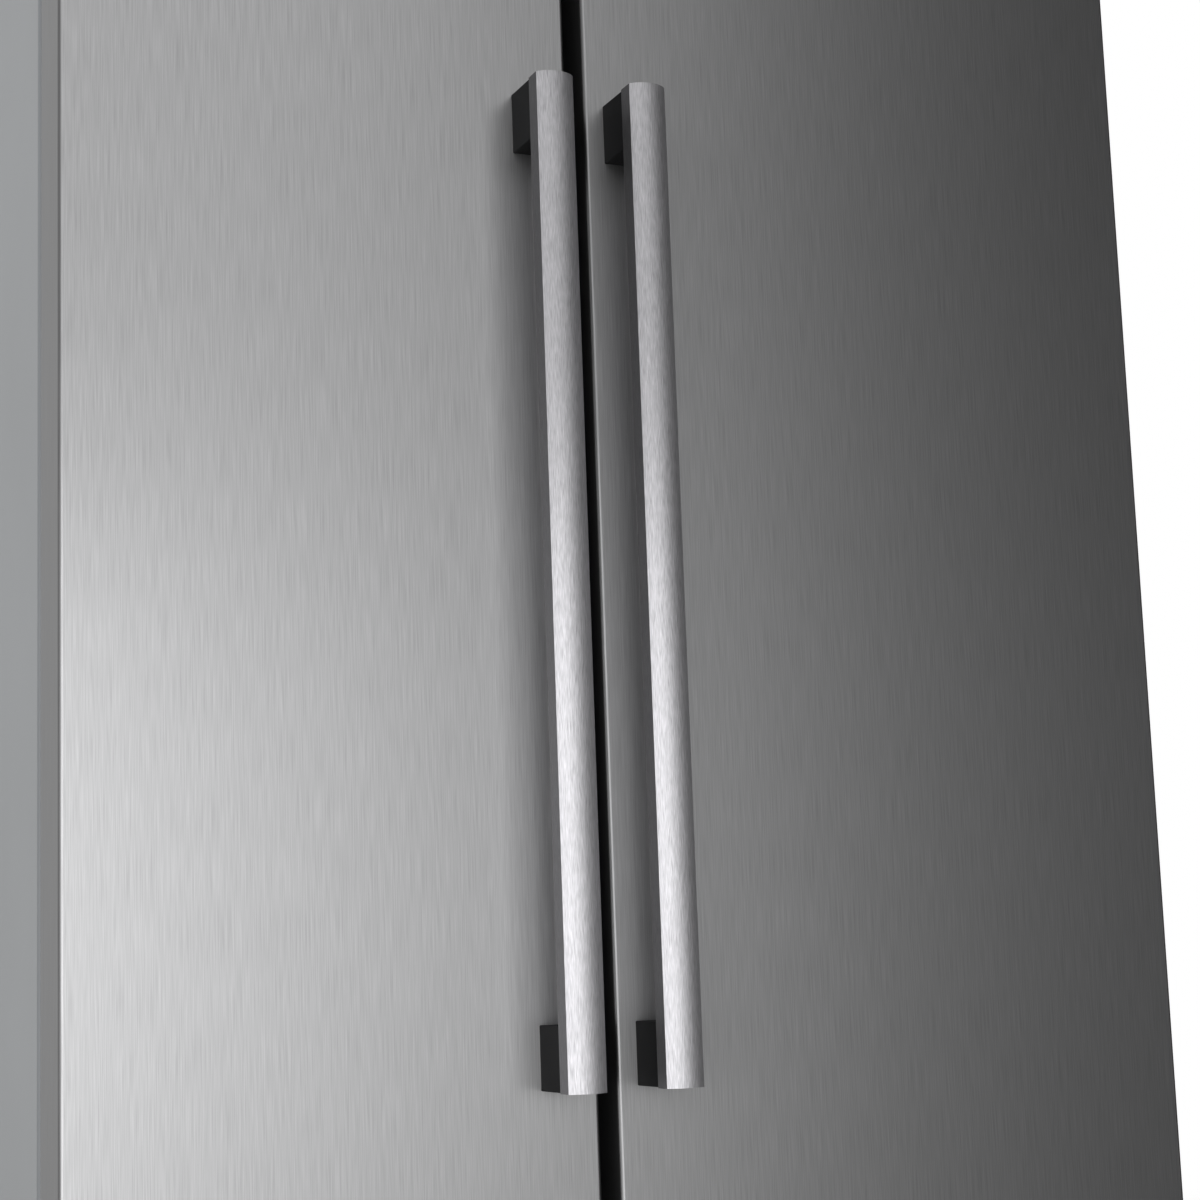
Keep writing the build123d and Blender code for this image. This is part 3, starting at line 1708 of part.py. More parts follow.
freezer_door_skin = door_skin(-1)
freezer_door_skin.label = "freezer_door_skin"
fridge_door_skin = door_skin(1)
fridge_door_skin.label = "fridge_door_skin"
freezer_door_foam = door_foam(-1)
freezer_door_foam.label = "freezer_door_foam"
fridge_door_foam = door_foam(1)
fridge_door_foam.label = "fridge_door_foam"
freezer_door_liner = door_liner(-1, freezer_bin_levels)
freezer_door_liner.label = "freezer_door_liner"
fridge_door_liner = door_liner(1, fridge_bin_levels + (dairy_level,))
fridge_door_liner.label = "fridge_door_liner"
freezer_door_caps = door_caps(-1)
freezer_door_caps.label = "freezer_door_caps"
fridge_door_caps = door_caps(1)
fridge_door_caps.label = "fridge_door_caps"
freezer_door_gasket = door_gasket(-1)
freezer_door_gasket.label = "freezer_door_gasket"
fridge_door_gasket = door_gasket(1)
fridge_door_gasket.label = "fridge_door_gasket"
freezer_handle_bar = handle_bar(-1)
freezer_handle_bar.label = "freezer_handle_bar"
fridge_handle_bar = handle_bar(1)
fridge_handle_bar.label = "fridge_handle_bar"
freezer_handle_lower_bracket = handle_bracket(-1, *bar_ends[0])
freezer_handle_lower_bracket.label = "freezer_handle_lower_bracket"
freezer_handle_upper_bracket = handle_bracket(-1, *bar_ends[1])
freezer_handle_upper_bracket.label = "freezer_handle_upper_bracket"
fridge_handle_lower_bracket = handle_bracket(1, *bar_ends[0])
fridge_handle_lower_bracket.label = "fridge_handle_lower_bracket"
fridge_handle_upper_bracket = handle_bracket(1, *bar_ends[1])
fridge_handle_upper_bracket.label = "fridge_handle_upper_bracket"
freezer_door_bins = door_bins(-1, freezer_bin_levels)
freezer_door_bins.label = "freezer_door_bins"

# Fridge door bins, with the dairy box at the top, and the dairy box's lid
dairy_x = bin_limits(1)
lid_pivot_y = bin_back_y + lid_pivot_inset
lid_pivot_z = dairy_level + dairy_height - lid_pivot_drop

with BuildPart() as fridge_door_bins:
    add(door_bins(1, fridge_bin_levels))
    add(bin_shell(dairy_x, dairy_level, dairy_height, dairy_front))
    rod(
        (dairy_x[0] - bin_wall, lid_pivot_y, lid_pivot_z),
        (1, 0, 0),
        lid_pin_radius + pin_clearance,
        dairy_x[1] - dairy_x[0] + 2 * bin_wall,
        mode=Mode.SUBTRACT,
    )
fridge_door_bins.part.label = "fridge_door_bins"

lid_x = (dairy_x[0] + bin_wall + 2 * bin_fit, dairy_x[1] - bin_wall - 2 * bin_fit)
lid_top = dairy_level + dairy_height
with BuildPart() as dairy_lid:
    with BuildSketch(Plane.YZ.offset(lid_x[0])) as lid_section:
        with BuildLine():
            FilletPolyline(
                (lid_pivot_y - lid_back_reach, lid_top - lid_wall / 2),
                (bin_front_y - lid_wall / 2, lid_top - lid_wall / 2),
                (bin_front_y - lid_wall / 2, dairy_level + dairy_front + lid_front_gap),
                radius=lid_bend,
            )
        trace(line_width=lid_wall)
    extrude(lid_section.sketch, amount=lid_x[1] - lid_x[0], dir=(1, 0, 0))
    ear = lid_pin_radius + lid_ear_margin
    for x_end, inward in ((lid_x[0], 1), (lid_x[1], -1)):
        block(
            (x_end, x_end + inward * lid_wall),
            (lid_pivot_y - ear, lid_pivot_y + ear),
            (lid_pivot_z - ear, lid_top - lid_wall / 2),
        )
        rod(
            (x_end + inward * lid_wall, lid_pivot_y, lid_pivot_z),
            (-inward, 0, 0),
            lid_pin_radius,
            lid_wall + 2 * bin_fit + bin_wall,
        )
dairy_lid.part.label = "dairy_lid"

pieces = [
    left_side_panel.part,
    right_side_panel.part,
    top_panel.part,
    back_panel.part,
    front_frame.part,
    cabinet_foam.part,
    fridge_liner,
    freezer_liner,
    base_frame.part,
    left_foot,
    right_foot,
    left_roller,
    right_roller,
    kick_grille.part,
    machine_cover.part,
    power_inlet.part,
    compressor.part,
    condenser_coil.part,
    drip_tray.part,
    condenser_fan,
    condenser_fan_motor.part,
    evaporator_cover.part,
    evaporator_fan,
    evaporator_fan_motor.part,
    evaporator_coil.part,
    air_duct.part,
    control_panel.part,
    lamp_lenses.part,
    thermostat_knob.part,
    fast_freeze_button.part,
    fridge_shelf_glass,
    freezer_shelf_glass,
    shelf_trims.part,
    upper_crisper,
    lower_crisper,
    upper_freezer_drawer,
    lower_freezer_drawer,
    upper_hinges.part,
    lower_hinges.part,
    hinge_screws.part,
    hinge_covers.part,
    freezer_door_skin,
    fridge_door_skin,
    freezer_door_foam,
    fridge_door_foam,
    freezer_door_liner,
    fridge_door_liner,
    freezer_door_caps,
    fridge_door_caps,
    freezer_door_gasket,
    fridge_door_gasket,
    freezer_handle_bar,
    fridge_handle_bar,
    freezer_handle_lower_bracket,
    freezer_handle_upper_bracket,
    fridge_handle_lower_bracket,
    fridge_handle_upper_bracket,
    freezer_door_bins,
    fridge_door_bins.part,
    dairy_lid.part,
]
for piece in pieces:
    export_step(piece, f"parts/{piece.label}.step")
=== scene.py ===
import math

import bmesh
import bpy
from mathutils import Matrix, Vector


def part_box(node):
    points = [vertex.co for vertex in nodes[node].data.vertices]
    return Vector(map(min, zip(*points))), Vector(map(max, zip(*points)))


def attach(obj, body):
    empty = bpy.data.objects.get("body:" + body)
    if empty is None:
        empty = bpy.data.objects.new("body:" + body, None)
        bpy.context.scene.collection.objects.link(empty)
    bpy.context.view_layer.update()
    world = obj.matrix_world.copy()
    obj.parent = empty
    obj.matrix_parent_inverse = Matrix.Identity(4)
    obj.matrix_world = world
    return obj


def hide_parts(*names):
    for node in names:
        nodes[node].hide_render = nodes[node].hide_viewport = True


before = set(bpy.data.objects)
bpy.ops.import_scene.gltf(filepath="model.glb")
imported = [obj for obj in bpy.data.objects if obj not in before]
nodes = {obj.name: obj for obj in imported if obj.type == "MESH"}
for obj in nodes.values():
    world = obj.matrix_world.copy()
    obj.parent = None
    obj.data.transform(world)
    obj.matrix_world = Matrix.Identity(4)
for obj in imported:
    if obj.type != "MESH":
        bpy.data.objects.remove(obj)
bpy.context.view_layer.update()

# Base frame
# Rails, cross beams, foot nuts and roller cheeks, folded from galvanised steel strip and spot welded.
# The zinc froze into crystals about 8 mm across, each a little brighter or duller than its neighbours.

MM = 0.001


def linear(hex_colour):
    """An sRGB hex colour as the linear colour that Blender works in."""
    parts = [int(hex_colour[i:i + 2], 16) / 255 for i in (1, 3, 5)]
    return [p / 12.92 if p <= 0.04045 else ((p + 0.055) / 1.055) ** 2.4 for p in parts] + [1.0]


def add(tree, kind, settings=None, inputs=None):
    """Adds one node with its settings, and gives its inputs a value or a link."""
    node = tree.nodes.new(kind)
    for name, value in (settings or {}).items():
        setattr(node, name, value)
    for name, value in (inputs or {}).items():
        if isinstance(value, bpy.types.NodeSocket):
            tree.links.new(value, node.inputs[name])
        else:
            node.inputs[name].default_value = value
    return node


def new_material(name, inputs):
    """A material with one Principled shader; returns the material, its tree and the shader."""
    material = bpy.data.materials.new(name)
    material.use_nodes = True
    tree = material.node_tree
    tree.nodes.clear()
    shader = add(tree, "ShaderNodeBsdfPrincipled", None, inputs)
    add(tree, "ShaderNodeOutputMaterial", None, {"Surface": shader.outputs[0]})
    return material, tree, shader


def dress(material, *names):
    """Gives CAD nodes their finish."""
    for name in names:
        nodes[name].data.materials.clear()
        nodes[name].data.materials.append(material)


def galvanised(name, colour, crystal_mm, contrast, grain_mm=0.8, grain_depth_mm=0.01):
    """Zinc-coated steel: metallic, dull, a patchwork of crystals with a fine grain over them."""
    material, tree, shader = new_material(name, {"Metallic": 1.0})
    place = add(tree, "ShaderNodeTexCoord")
    crystal = add(tree, "ShaderNodeTexVoronoi", None, {
        "Vector": place.outputs["Object"], "Scale": 1000 / crystal_mm, "Randomness": 1.0})
    parts = add(tree, "ShaderNodeSeparateColor", None, {0: crystal.outputs["Color"]})
    shade = add(tree, "ShaderNodeMapRange", None, {
        "Value": parts.outputs[0], "To Min": 1.0 - contrast, "To Max": 1.0})
    tone = add(tree, "ShaderNodeVectorMath", {"operation": "SCALE"}, {
        0: linear(colour)[:3], "Scale": shade.outputs[0]})
    dull = add(tree, "ShaderNodeMapRange", None, {
        "Value": parts.outputs[1], "To Min": 0.38, "To Max": 0.55})
    grain = add(tree, "ShaderNodeTexNoise", None, {
        "Vector": place.outputs["Object"], "Scale": 1000 / grain_mm, "Detail": 2.0})
    bump = add(tree, "ShaderNodeBump", None, {
        "Strength": 1.0, "Distance": grain_depth_mm * MM, "Height": grain.outputs[0]})
    tree.links.new(tone.outputs[0], shader.inputs["Base Color"])
    tree.links.new(dull.outputs[0], shader.inputs["Roughness"])
    tree.links.new(bump.outputs[0], shader.inputs["Normal"])
    return material


zinc = galvanised("galvanised_steel", "#AEB1B3", crystal_mm=8.0, contrast=0.2)
dress(zinc, "base_frame")

# Levelling feet and rear rollers
# Black glass-filled nylon: the pads are moulded round their studs, the wheels turn on steel axles.
# The moulds were spark eroded, so the nylon has a fine grain, about 0.6 mm, and a soft low sheen.


def moulded_plastic(name, colour, roughness, grain_mm, depth_mm, shine=0.5, patchy=0.04):
    """Moulded plastic: a fine grain, and slow changes in tone and gloss."""
    patches_per_metre = 9.0
    material, tree, shader = new_material(name, {"IOR": 1.49, "Specular IOR Level": shine})
    place = add(tree, "ShaderNodeTexCoord")
    grain = add(tree, "ShaderNodeTexNoise", None, {
        "Vector": place.outputs["Object"], "Scale": 1000 / grain_mm, "Detail": 2.0})
    cloud = add(tree, "ShaderNodeTexNoise", None, {
        "Vector": place.outputs["Object"], "Scale": patches_per_metre, "Detail": 3.0})
    shade = add(tree, "ShaderNodeMapRange", None, {
        "Value": cloud.outputs[0], "From Min": 0.3, "From Max": 0.7,
        "To Min": 1.0 - patchy, "To Max": 1.0 + patchy})
    tone = add(tree, "ShaderNodeVectorMath", {"operation": "SCALE"}, {
        0: linear(colour)[:3], "Scale": shade.outputs[0]})
    gloss = add(tree, "ShaderNodeMapRange", None, {
        "Value": cloud.outputs[0], "From Min": 0.3, "From Max": 0.7,
        "To Min": roughness - patchy, "To Max": roughness + patchy})
    bump = add(tree, "ShaderNodeBump", None, {
        "Strength": 1.0, "Distance": depth_mm * MM, "Height": grain.outputs[0]})
    tree.links.new(tone.outputs[0], shader.inputs["Base Color"])
    tree.links.new(gloss.outputs[0], shader.inputs["Roughness"])
    tree.links.new(bump.outputs[0], shader.inputs["Normal"])
    return material


nylon = moulded_plastic("black_nylon", "#1B1B1C", roughness=0.48, grain_mm=0.6, depth_mm=0.02)
dress(nylon, "left_foot", "right_foot", "left_roller", "right_roller")

# Cabinet shell
# Side panels and top are 0.8 mm steel, coil coated grey before it was folded; the frame round the openings
# is the same sheet in black. The satin polyester skin is pebbled, about 1.2 mm from pebble to pebble.


def coil_coated(name, colour, roughness, shine, pebble_mm=1.2, depth_mm=0.04):
    """Coil-coated steel: satin paint over a pebbled primer, with slow changes in tone."""
    patches_per_metre = 6.0
    material, tree, shader = new_material(name, {"Roughness": roughness, "Specular IOR Level": shine})
    place = add(tree, "ShaderNodeTexCoord")
    pebbles = add(tree, "ShaderNodeTexVoronoi", {"feature": "SMOOTH_F1"}, {
        "Vector": place.outputs["Object"], "Scale": 1000 / pebble_mm, "Smoothness": 0.6})
    cloud = add(tree, "ShaderNodeTexNoise", None, {
        "Vector": place.outputs["Object"], "Scale": patches_per_metre, "Detail": 4.0})
    shade = add(tree, "ShaderNodeMapRange", None, {
        "Value": cloud.outputs[0], "From Min": 0.3, "From Max": 0.7, "To Min": 0.95, "To Max": 1.03})
    tone = add(tree, "ShaderNodeVectorMath", {"operation": "SCALE"}, {
        0: linear(colour)[:3], "Scale": shade.outputs[0]})
    bump = add(tree, "ShaderNodeBump", None, {
        "Strength": 1.0, "Distance": depth_mm * MM, "Height": pebbles.outputs["Distance"]})
    tree.links.new(tone.outputs[0], shader.inputs["Base Color"])
    tree.links.new(bump.outputs[0], shader.inputs["Normal"])
    return material


grey_steel = coil_coated("grey_coated_steel", "#7F8285", roughness=0.42, shine=0.5)
dress(grey_steel, "left_side_panel", "right_side_panel", "top_panel")
black_steel = coil_coated("black_coated_steel", "#0F0F10", roughness=0.5, shine=0.2)
dress(black_steel, "front_frame")

# Back panel and machine cover
# Plain galvanised sheet, never painted, so its crystals show. The louvred cover below the panel is held by
# washer-head screws. Their electroplated zinc is brighter, and too fine to see: its crystals are drawn
# 2 mm wide, so that they show.

back_sheet = galvanised("galvanised_back_sheet", "#B4B7B9", crystal_mm=10.0, contrast=0.16)
dress(back_sheet, "back_panel")
cover_sheet = galvanised("galvanised_cover_sheet", "#9DA0A3", crystal_mm=7.0, contrast=0.2)
dress(cover_sheet, "machine_cover")


def turned(bm, profile, sides, place):
    """Adds a turned body: a ring for each (radius, height) in millimetres, closed at both ends."""
    rings = []
    for radius, height in profile:
        angles = [2 * math.pi * k / sides for k in range(sides)]
        spots = [Vector((radius * math.cos(a), radius * math.sin(a), height)) * MM for a in angles]
        rings.append([bm.verts.new(place @ spot) for spot in spots])
    for low, high in zip(rings, rings[1:]):
        for k in range(sides):
            bm.faces.new((low[k], low[(k + 1) % sides], high[(k + 1) % sides], high[k]))
    bm.faces.new(list(reversed(rings[0])))
    bm.faces.new(rings[-1])


def piece_from(name, bm, material, body, smooth_below=35.0):
    """Makes a piece of a bmesh: smooth over shallow edges, finished, and riding on a body."""
    mesh = bpy.data.meshes.new(name)
    bm.to_mesh(mesh)
    bm.free()
    mesh.materials.append(material)
    mesh.shade_smooth()
    mesh.set_sharp_from_angle(angle=math.radians(smooth_below))
    piece = bpy.data.objects.new(name, mesh)
    bpy.context.scene.collection.objects.link(piece)
    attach(piece, body)
    return piece


cover_low, cover_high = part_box("machine_cover")
screw_inset, flange_sides, hex_sides = 11.0, 28, 6
flange_profile = [(6.2, 0.0), (6.2, 0.25), (5.4, 0.5), (3.6, 0.6)]
hex_profile = [(3.3, 0.4), (3.3, 1.15), (3.0, 1.4), (1.6, 1.4), (1.2, 0.9)]
cover_x = [cover_low.x + screw_inset * MM, 0.0, cover_high.x - screw_inset * MM]
cover_middle_z = (cover_low.z + cover_high.z) / 2
cover_z = [cover_low.z + screw_inset * MM, cover_middle_z, cover_high.z - screw_inset * MM]
bm = bmesh.new()
for x in cover_x:
    for z in cover_z:
        if x or z != cover_middle_z:
            spot = Matrix.Translation((x, cover_high.y, z)) @ Matrix.Rotation(-math.pi / 2, 4, "X")
            turned(bm, flange_profile, flange_sides, spot)
            turned(bm, hex_profile, hex_sides, spot)
bright_zinc = galvanised("bright_zinc_plate", "#C6C8CA", crystal_mm=2.0, contrast=0.08)
piece_from("cover_screws", bm, bright_zinc, "cabinet")

# Cabinet foam
# Rigid polyurethane foam, blown in place between the shell and the liners: pale cream, closed cells with a
# painted shade in their hollows.
# The cells are well under a millimetre and are drawn 1.5 mm wide, so that they show.


def blown_foam(name, colour, cell_mm, depth_mm):
    """Rigid foam: matt, with closed cells whose hollows are painted darker, a painted shade."""
    material, tree, shader = new_material(name, {"Roughness": 0.9, "IOR": 1.45})
    place = add(tree, "ShaderNodeTexCoord")
    cells = add(tree, "ShaderNodeTexVoronoi", None, {
        "Vector": place.outputs["Object"], "Scale": 1000 / cell_mm})
    # Painted shade: each cell is darkest at its centre, which the bump makes its hollow.
    shade = add(tree, "ShaderNodeMapRange", None, {
        "Value": cells.outputs["Distance"], "To Min": 0.8, "To Max": 1.0})
    tone = add(tree, "ShaderNodeVectorMath", {"operation": "SCALE"}, {
        0: linear(colour)[:3], "Scale": shade.outputs[0]})
    bump = add(tree, "ShaderNodeBump", None, {
        "Strength": 1.0, "Distance": depth_mm * MM, "Height": cells.outputs["Distance"]})
    tree.links.new(tone.outputs[0], shader.inputs["Base Color"])
    tree.links.new(bump.outputs[0], shader.inputs["Normal"])
    return material


foam = blown_foam("polyurethane_foam", "#DCC994", cell_mm=1.5, depth_mm=0.4)
dress(foam, "cabinet_foam", "freezer_door_foam", "fridge_door_foam")

# Compartment liners
# Each is one sheet of white high-impact polystyrene, vacuum formed over a polished tool: half glossy, with a
# faint orange peel. Its crests are about 20 mm apart.

liner_white = moulded_plastic("white_polystyrene", "#EDEFEE", roughness=0.32, grain_mm=20.0, depth_mm=0.03,
                              patchy=0.006)
dress(liner_white, "fridge_liner", "freezer_liner")

# Compressor and condenser
# The welded steel shell, its plate and the finned coil are stove enamelled black.
# Enamel flows out to a low gloss with slow waves, about 9 mm long, where a plastic has its grain.

enamel = moulded_plastic("black_stove_enamel", "#101011", roughness=0.28, grain_mm=9.0, depth_mm=0.12)
dress(enamel, "compressor", "condenser_coil")

# Refrigerant pipes
# Drawn copper tube, bent on a former and brazed: the discharge pipe runs over the fan to the condenser,
# the liquid pipe leads to the filter drier, and the suction pipe comes down from the freezer.
# Copper tarnishes, so its colour and its gloss change in patches about 22 mm wide.


def drawn_copper(name, colour, patch_mm):
    """Copper tube that has tarnished in patches."""
    material, tree, shader = new_material(name, {"Metallic": 1.0})
    place = add(tree, "ShaderNodeTexCoord")
    tarnish = add(tree, "ShaderNodeTexNoise", None, {
        "Vector": place.outputs["Object"], "Scale": 1000 / patch_mm, "Detail": 4.0})
    shade = add(tree, "ShaderNodeMapRange", None, {
        "Value": tarnish.outputs[0], "From Min": 0.35, "From Max": 0.65, "To Min": 0.6, "To Max": 1.0})
    tone = add(tree, "ShaderNodeVectorMath", {"operation": "SCALE"}, {
        0: linear(colour)[:3], "Scale": shade.outputs[0]})
    gloss = add(tree, "ShaderNodeMapRange", None, {
        "Value": tarnish.outputs[0], "From Min": 0.35, "From Max": 0.65, "To Min": 0.45, "To Max": 0.25})
    tree.links.new(tone.outputs[0], shader.inputs["Base Color"])
    tree.links.new(gloss.outputs[0], shader.inputs["Roughness"])
    return material


def bent_tube(name, corners, bend, radius, material, body):
    """A tube along straight runs joined by round bends; sizes and corners in millimetres."""
    bend_steps = 8
    corners = [Vector(corner) for corner in corners]
    route = [corners[0]]
    for before, corner, after in zip(corners, corners[1:], corners[2:]):
        towards, away = (before - corner).normalized(), (after - corner).normalized()
        half = towards.angle(away) / 2
        centre = corner + (towards + away).normalized() * bend / math.sin(half)
        first = (corner + towards * bend / math.tan(half) - centre).normalized()
        last = (corner + away * bend / math.tan(half) - centre).normalized()
        route += [centre + first.slerp(last, step / bend_steps) * bend for step in range(bend_steps + 1)]
    route.append(corners[-1])
    curve = bpy.data.curves.new(name, "CURVE")
    curve.dimensions = "3D"
    curve.bevel_depth = radius * MM
    curve.bevel_resolution = 4
    curve.use_fill_caps = True
    curve.materials.append(material)
    spline = curve.splines.new("POLY")
    spline.points.add(len(route) - 1)
    for point, spot in zip(spline.points, route):
        point.co = (*(spot * MM), 1.0)
    spline.use_smooth = True
    piece = bpy.data.objects.new(name, curve)
    bpy.context.scene.collection.objects.link(piece)
    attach(piece, body)


copper = drawn_copper("drawn_copper", "#C07A56", patch_mm=22.0)
shell_low, shell_high = [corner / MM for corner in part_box("compressor")]
coil_low, coil_high = [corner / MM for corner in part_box("condenser_coil")]
machine_y = (coil_low.y + coil_high.y) / 2
shell_x = shell_high.x - 86.0
stub = Vector((shell_x + 30.0, machine_y + 60.0, shell_low.z + 152.0))
into_shell, into_coil = Vector((0, 0, 12)), coil_low.x + 6
coil_in_z, coil_out_z = shell_low.z + 195.0, shell_low.z + 13.0
over_fan_z, beside_coil_x = 252.0, coil_low.x - 22.0
bent_tube("discharge_pipe", [
    stub - into_shell, (stub.x, stub.y, over_fan_z), (beside_coil_x, stub.y, over_fan_z),
    (beside_coil_x, machine_y, over_fan_z), (beside_coil_x, machine_y, coil_in_z),
    (into_coil, machine_y, coil_in_z),
], bend=11.0, radius=3.0, material=copper, body="cabinet")
drier_x, drier_z = coil_low.x - 48, 112.0
liquid_x, drier_inlet_x = coil_low.x - 14, coil_low.x - 60
bent_tube("liquid_pipe", [
    (into_coil, machine_y, coil_out_z), (liquid_x, machine_y, coil_out_z),
    (liquid_x, machine_y, drier_z), (drier_inlet_x, machine_y, drier_z),
], bend=9.0, radius=3.0, material=copper, body="cabinet")
drier_outlet_x, capillary_x, into_foam_z = coil_low.x - 150, coil_low.x - 190, 285.0
bent_tube("capillary", [
    (drier_outlet_x, machine_y, drier_z), (capillary_x, machine_y, drier_z),
    (capillary_x, machine_y, into_foam_z),
], bend=14.0, radius=1.2, material=copper, body="cabinet")
suction_x, suction_y, suction_z = shell_x + 72, machine_y - 58, shell_low.z + 70
suction_end = (shell_x + 52, machine_y - 42, suction_z)
bent_tube("suction_pipe", [
    (suction_x, suction_y, into_foam_z), (suction_x, suction_y, suction_z), suction_end,
], bend=12.0, radius=4.0, material=copper, body="cabinet")
drier_profile = [(3.2, 0), (3.6, 8), (9.5, 16), (9.5, 90), (9.2, 92), (3.0, 100), (1.6, 108)]
drier_sides, drier_start = 32, Matrix.Translation(Vector((drier_x, machine_y, drier_z)) * MM)
bm = bmesh.new()
turned(bm, drier_profile, drier_sides, drier_start @ Matrix.Rotation(-math.pi / 2, 4, "Y"))
piece_from("filter_drier", bm, copper, "cabinet")

# Condenser fan, drip tray and mains inlet
# The fan and the tray are grey polypropylene and the inlet is black polyamide, all with a fine matt grain
# from the mould; the fan's motor and plate are galvanised steel.

tray_grey = moulded_plastic("grey_polypropylene", "#3A3C3E", roughness=0.45, grain_mm=0.8, depth_mm=0.02)
dress(tray_grey, "drip_tray", "condenser_fan")
inlet_black = moulded_plastic("black_polyamide", "#161617", roughness=0.4, grain_mm=0.5, depth_mm=0.015)
dress(inlet_black, "power_inlet")
dress(zinc, "condenser_fan_motor")

# Evaporator, its fan and its defrost heater
# Aluminium tube pressed through rolled aluminium fins; the heater under it is a U of steel-sheathed wire.
# Rolling leaves faint lines, about 0.8 mm apart, that dull the fins unevenly.


def rolled_metal(name, colour, line_mm):
    """Bare rolled or drawn metal whose gloss changes from line to line."""
    material, tree, shader = new_material(name, {"Base Color": linear(colour), "Metallic": 1.0})
    place = add(tree, "ShaderNodeTexCoord")
    lines = add(tree, "ShaderNodeTexNoise", None, {
        "Vector": place.outputs["Object"], "Scale": 1000 / line_mm, "Detail": 2.0})
    gloss = add(tree, "ShaderNodeMapRange", None, {
        "Value": lines.outputs[0], "From Min": 0.3, "From Max": 0.7, "To Min": 0.24, "To Max": 0.44})
    tree.links.new(gloss.outputs[0], shader.inputs["Roughness"])
    return material


fin_metal = rolled_metal("rolled_aluminium", "#D2D4D6", line_mm=0.8)
dress(fin_metal, "evaporator_coil")
fan_grey = moulded_plastic("light_grey_abs", "#C9CCCE", roughness=0.35, grain_mm=1.0, depth_mm=0.02)
dress(fan_grey, "evaporator_fan")
dress(zinc, "evaporator_fan_motor")
heater_sheath = rolled_metal("sheathed_steel", "#8C8C8A", line_mm=1.5)
fins_low, fins_high = [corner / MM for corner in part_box("evaporator_coil")]
heater_left, heater_right = fins_low.x + 8, fins_high.x - 8
heater_z, heater_front, heater_back = fins_low.z - 12.0, fins_low.y + 14.0, fins_low.y + 38.0
bent_tube("defrost_heater", [
    (heater_left, heater_front, heater_z), (heater_right, heater_front, heater_z),
    (heater_right, heater_back, heater_z), (heater_left, heater_back, heater_z),
], bend=9.0, radius=3.3, material=heater_sheath, body="cabinet")

# Evaporator cover and air duct
# White polystyrene mouldings that clip to the liners. Their moulds were etched, so they have a fine grain
# and are a little less glossy than the liners behind them.

cover_white = moulded_plastic("satin_white_polystyrene", "#E5E8E8", roughness=0.4, grain_mm=1.2,
                              depth_mm=0.02, patchy=0.006)
dress(cover_white, "evaporator_cover", "air_duct")

# Console and lamp lenses
# The console at the top of the fridge compartment is moulded in white ABS, with a fine etched grain.
# The lenses are acrylic, frosted in the mould, which blurs what lies behind them.


def clear_moulding(name, colour, roughness, ior, ripple_mm, depth_mm):
    """Clear plastic or glass: it passes light, and its faces have slight ripples."""
    material, tree, shader = new_material(name, {
        "Base Color": linear(colour), "Roughness": roughness, "IOR": ior, "Transmission Weight": 1.0})
    place = add(tree, "ShaderNodeTexCoord")
    ripple = add(tree, "ShaderNodeTexNoise", None, {
        "Vector": place.outputs["Object"], "Scale": 1000 / ripple_mm, "Detail": 1.0})
    bump = add(tree, "ShaderNodeBump", None, {
        "Strength": 1.0, "Distance": depth_mm * MM, "Height": ripple.outputs[0]})
    tree.links.new(bump.outputs[0], shader.inputs["Normal"])
    return material


console_white = moulded_plastic("white_abs", "#E8EBEC", roughness=0.35, grain_mm=1.0, depth_mm=0.02,
                                patchy=0.006)
dress(console_white, "control_panel")
frosted = clear_moulding("frosted_acrylic", "#F6F8F8", roughness=0.45, ior=1.49, ripple_mm=1.0,
                         depth_mm=0.05)
dress(frosted, "lamp_lenses")

# Thermostat knob and its dial
# A satin grey ABS knob with a grip across it. Numbers from 0 to 7 are pad printed round it in matt ink, and
# follow the console's rounded lower edge.

knob_grey = moulded_plastic("grey_abs", "#A3A8AB", roughness=0.36, grain_mm=0.8, depth_mm=0.02)
dress(knob_grey, "thermostat_knob")
console_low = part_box("control_panel")[0] / MM
knob_low, knob_high = [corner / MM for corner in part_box("thermostat_knob")]
knob_middle = (knob_low + knob_high) / 2
console_edge, ink_thickness = 8.0, 0.06
dial_radius, digit_height, size_per_height, degrees_per_step = 20.6, 4.2, 1.35, 40.0
bm = bmesh.new()
for number in range(8):
    letters = bpy.data.curves.new("digit", "FONT")
    letters.body = str(number)
    letters.size = digit_height * size_per_height
    letters.align_x, letters.align_y = "CENTER", "CENTER"
    letters.extrude = ink_thickness
    holder = bpy.data.objects.new("digit", letters)
    digit = bpy.data.meshes.new_from_object(holder)
    angle = math.radians(degrees_per_step * number)
    for vertex in digit.vertices:
        x = knob_middle.x + dial_radius * math.sin(angle) + vertex.co.x
        z = knob_middle.z + dial_radius * math.cos(angle) + vertex.co.y
        below = max(0.0, console_low.z + console_edge - z)
        face_y = console_low.y + console_edge - math.sqrt(max(console_edge ** 2 - below ** 2, 0.0))
        vertex.co = (x * MM, (face_y - vertex.co.z) * MM, z * MM)
    bm.from_mesh(digit)
    bpy.data.objects.remove(holder)
    bpy.data.curves.remove(letters)
    bpy.data.meshes.remove(digit)
print_ink = moulded_plastic("grey_print_ink", "#4B4F53", roughness=0.6, grain_mm=0.4, depth_mm=0.005)
piece_from("dial_numbers", bm, print_ink, "cabinet")

# Fast freeze button and its lamp
# The button is half-glossy blue ABS. Beside it, a clear amber acrylic lens in a grey ABS ring shows that
# fast freezing is on.

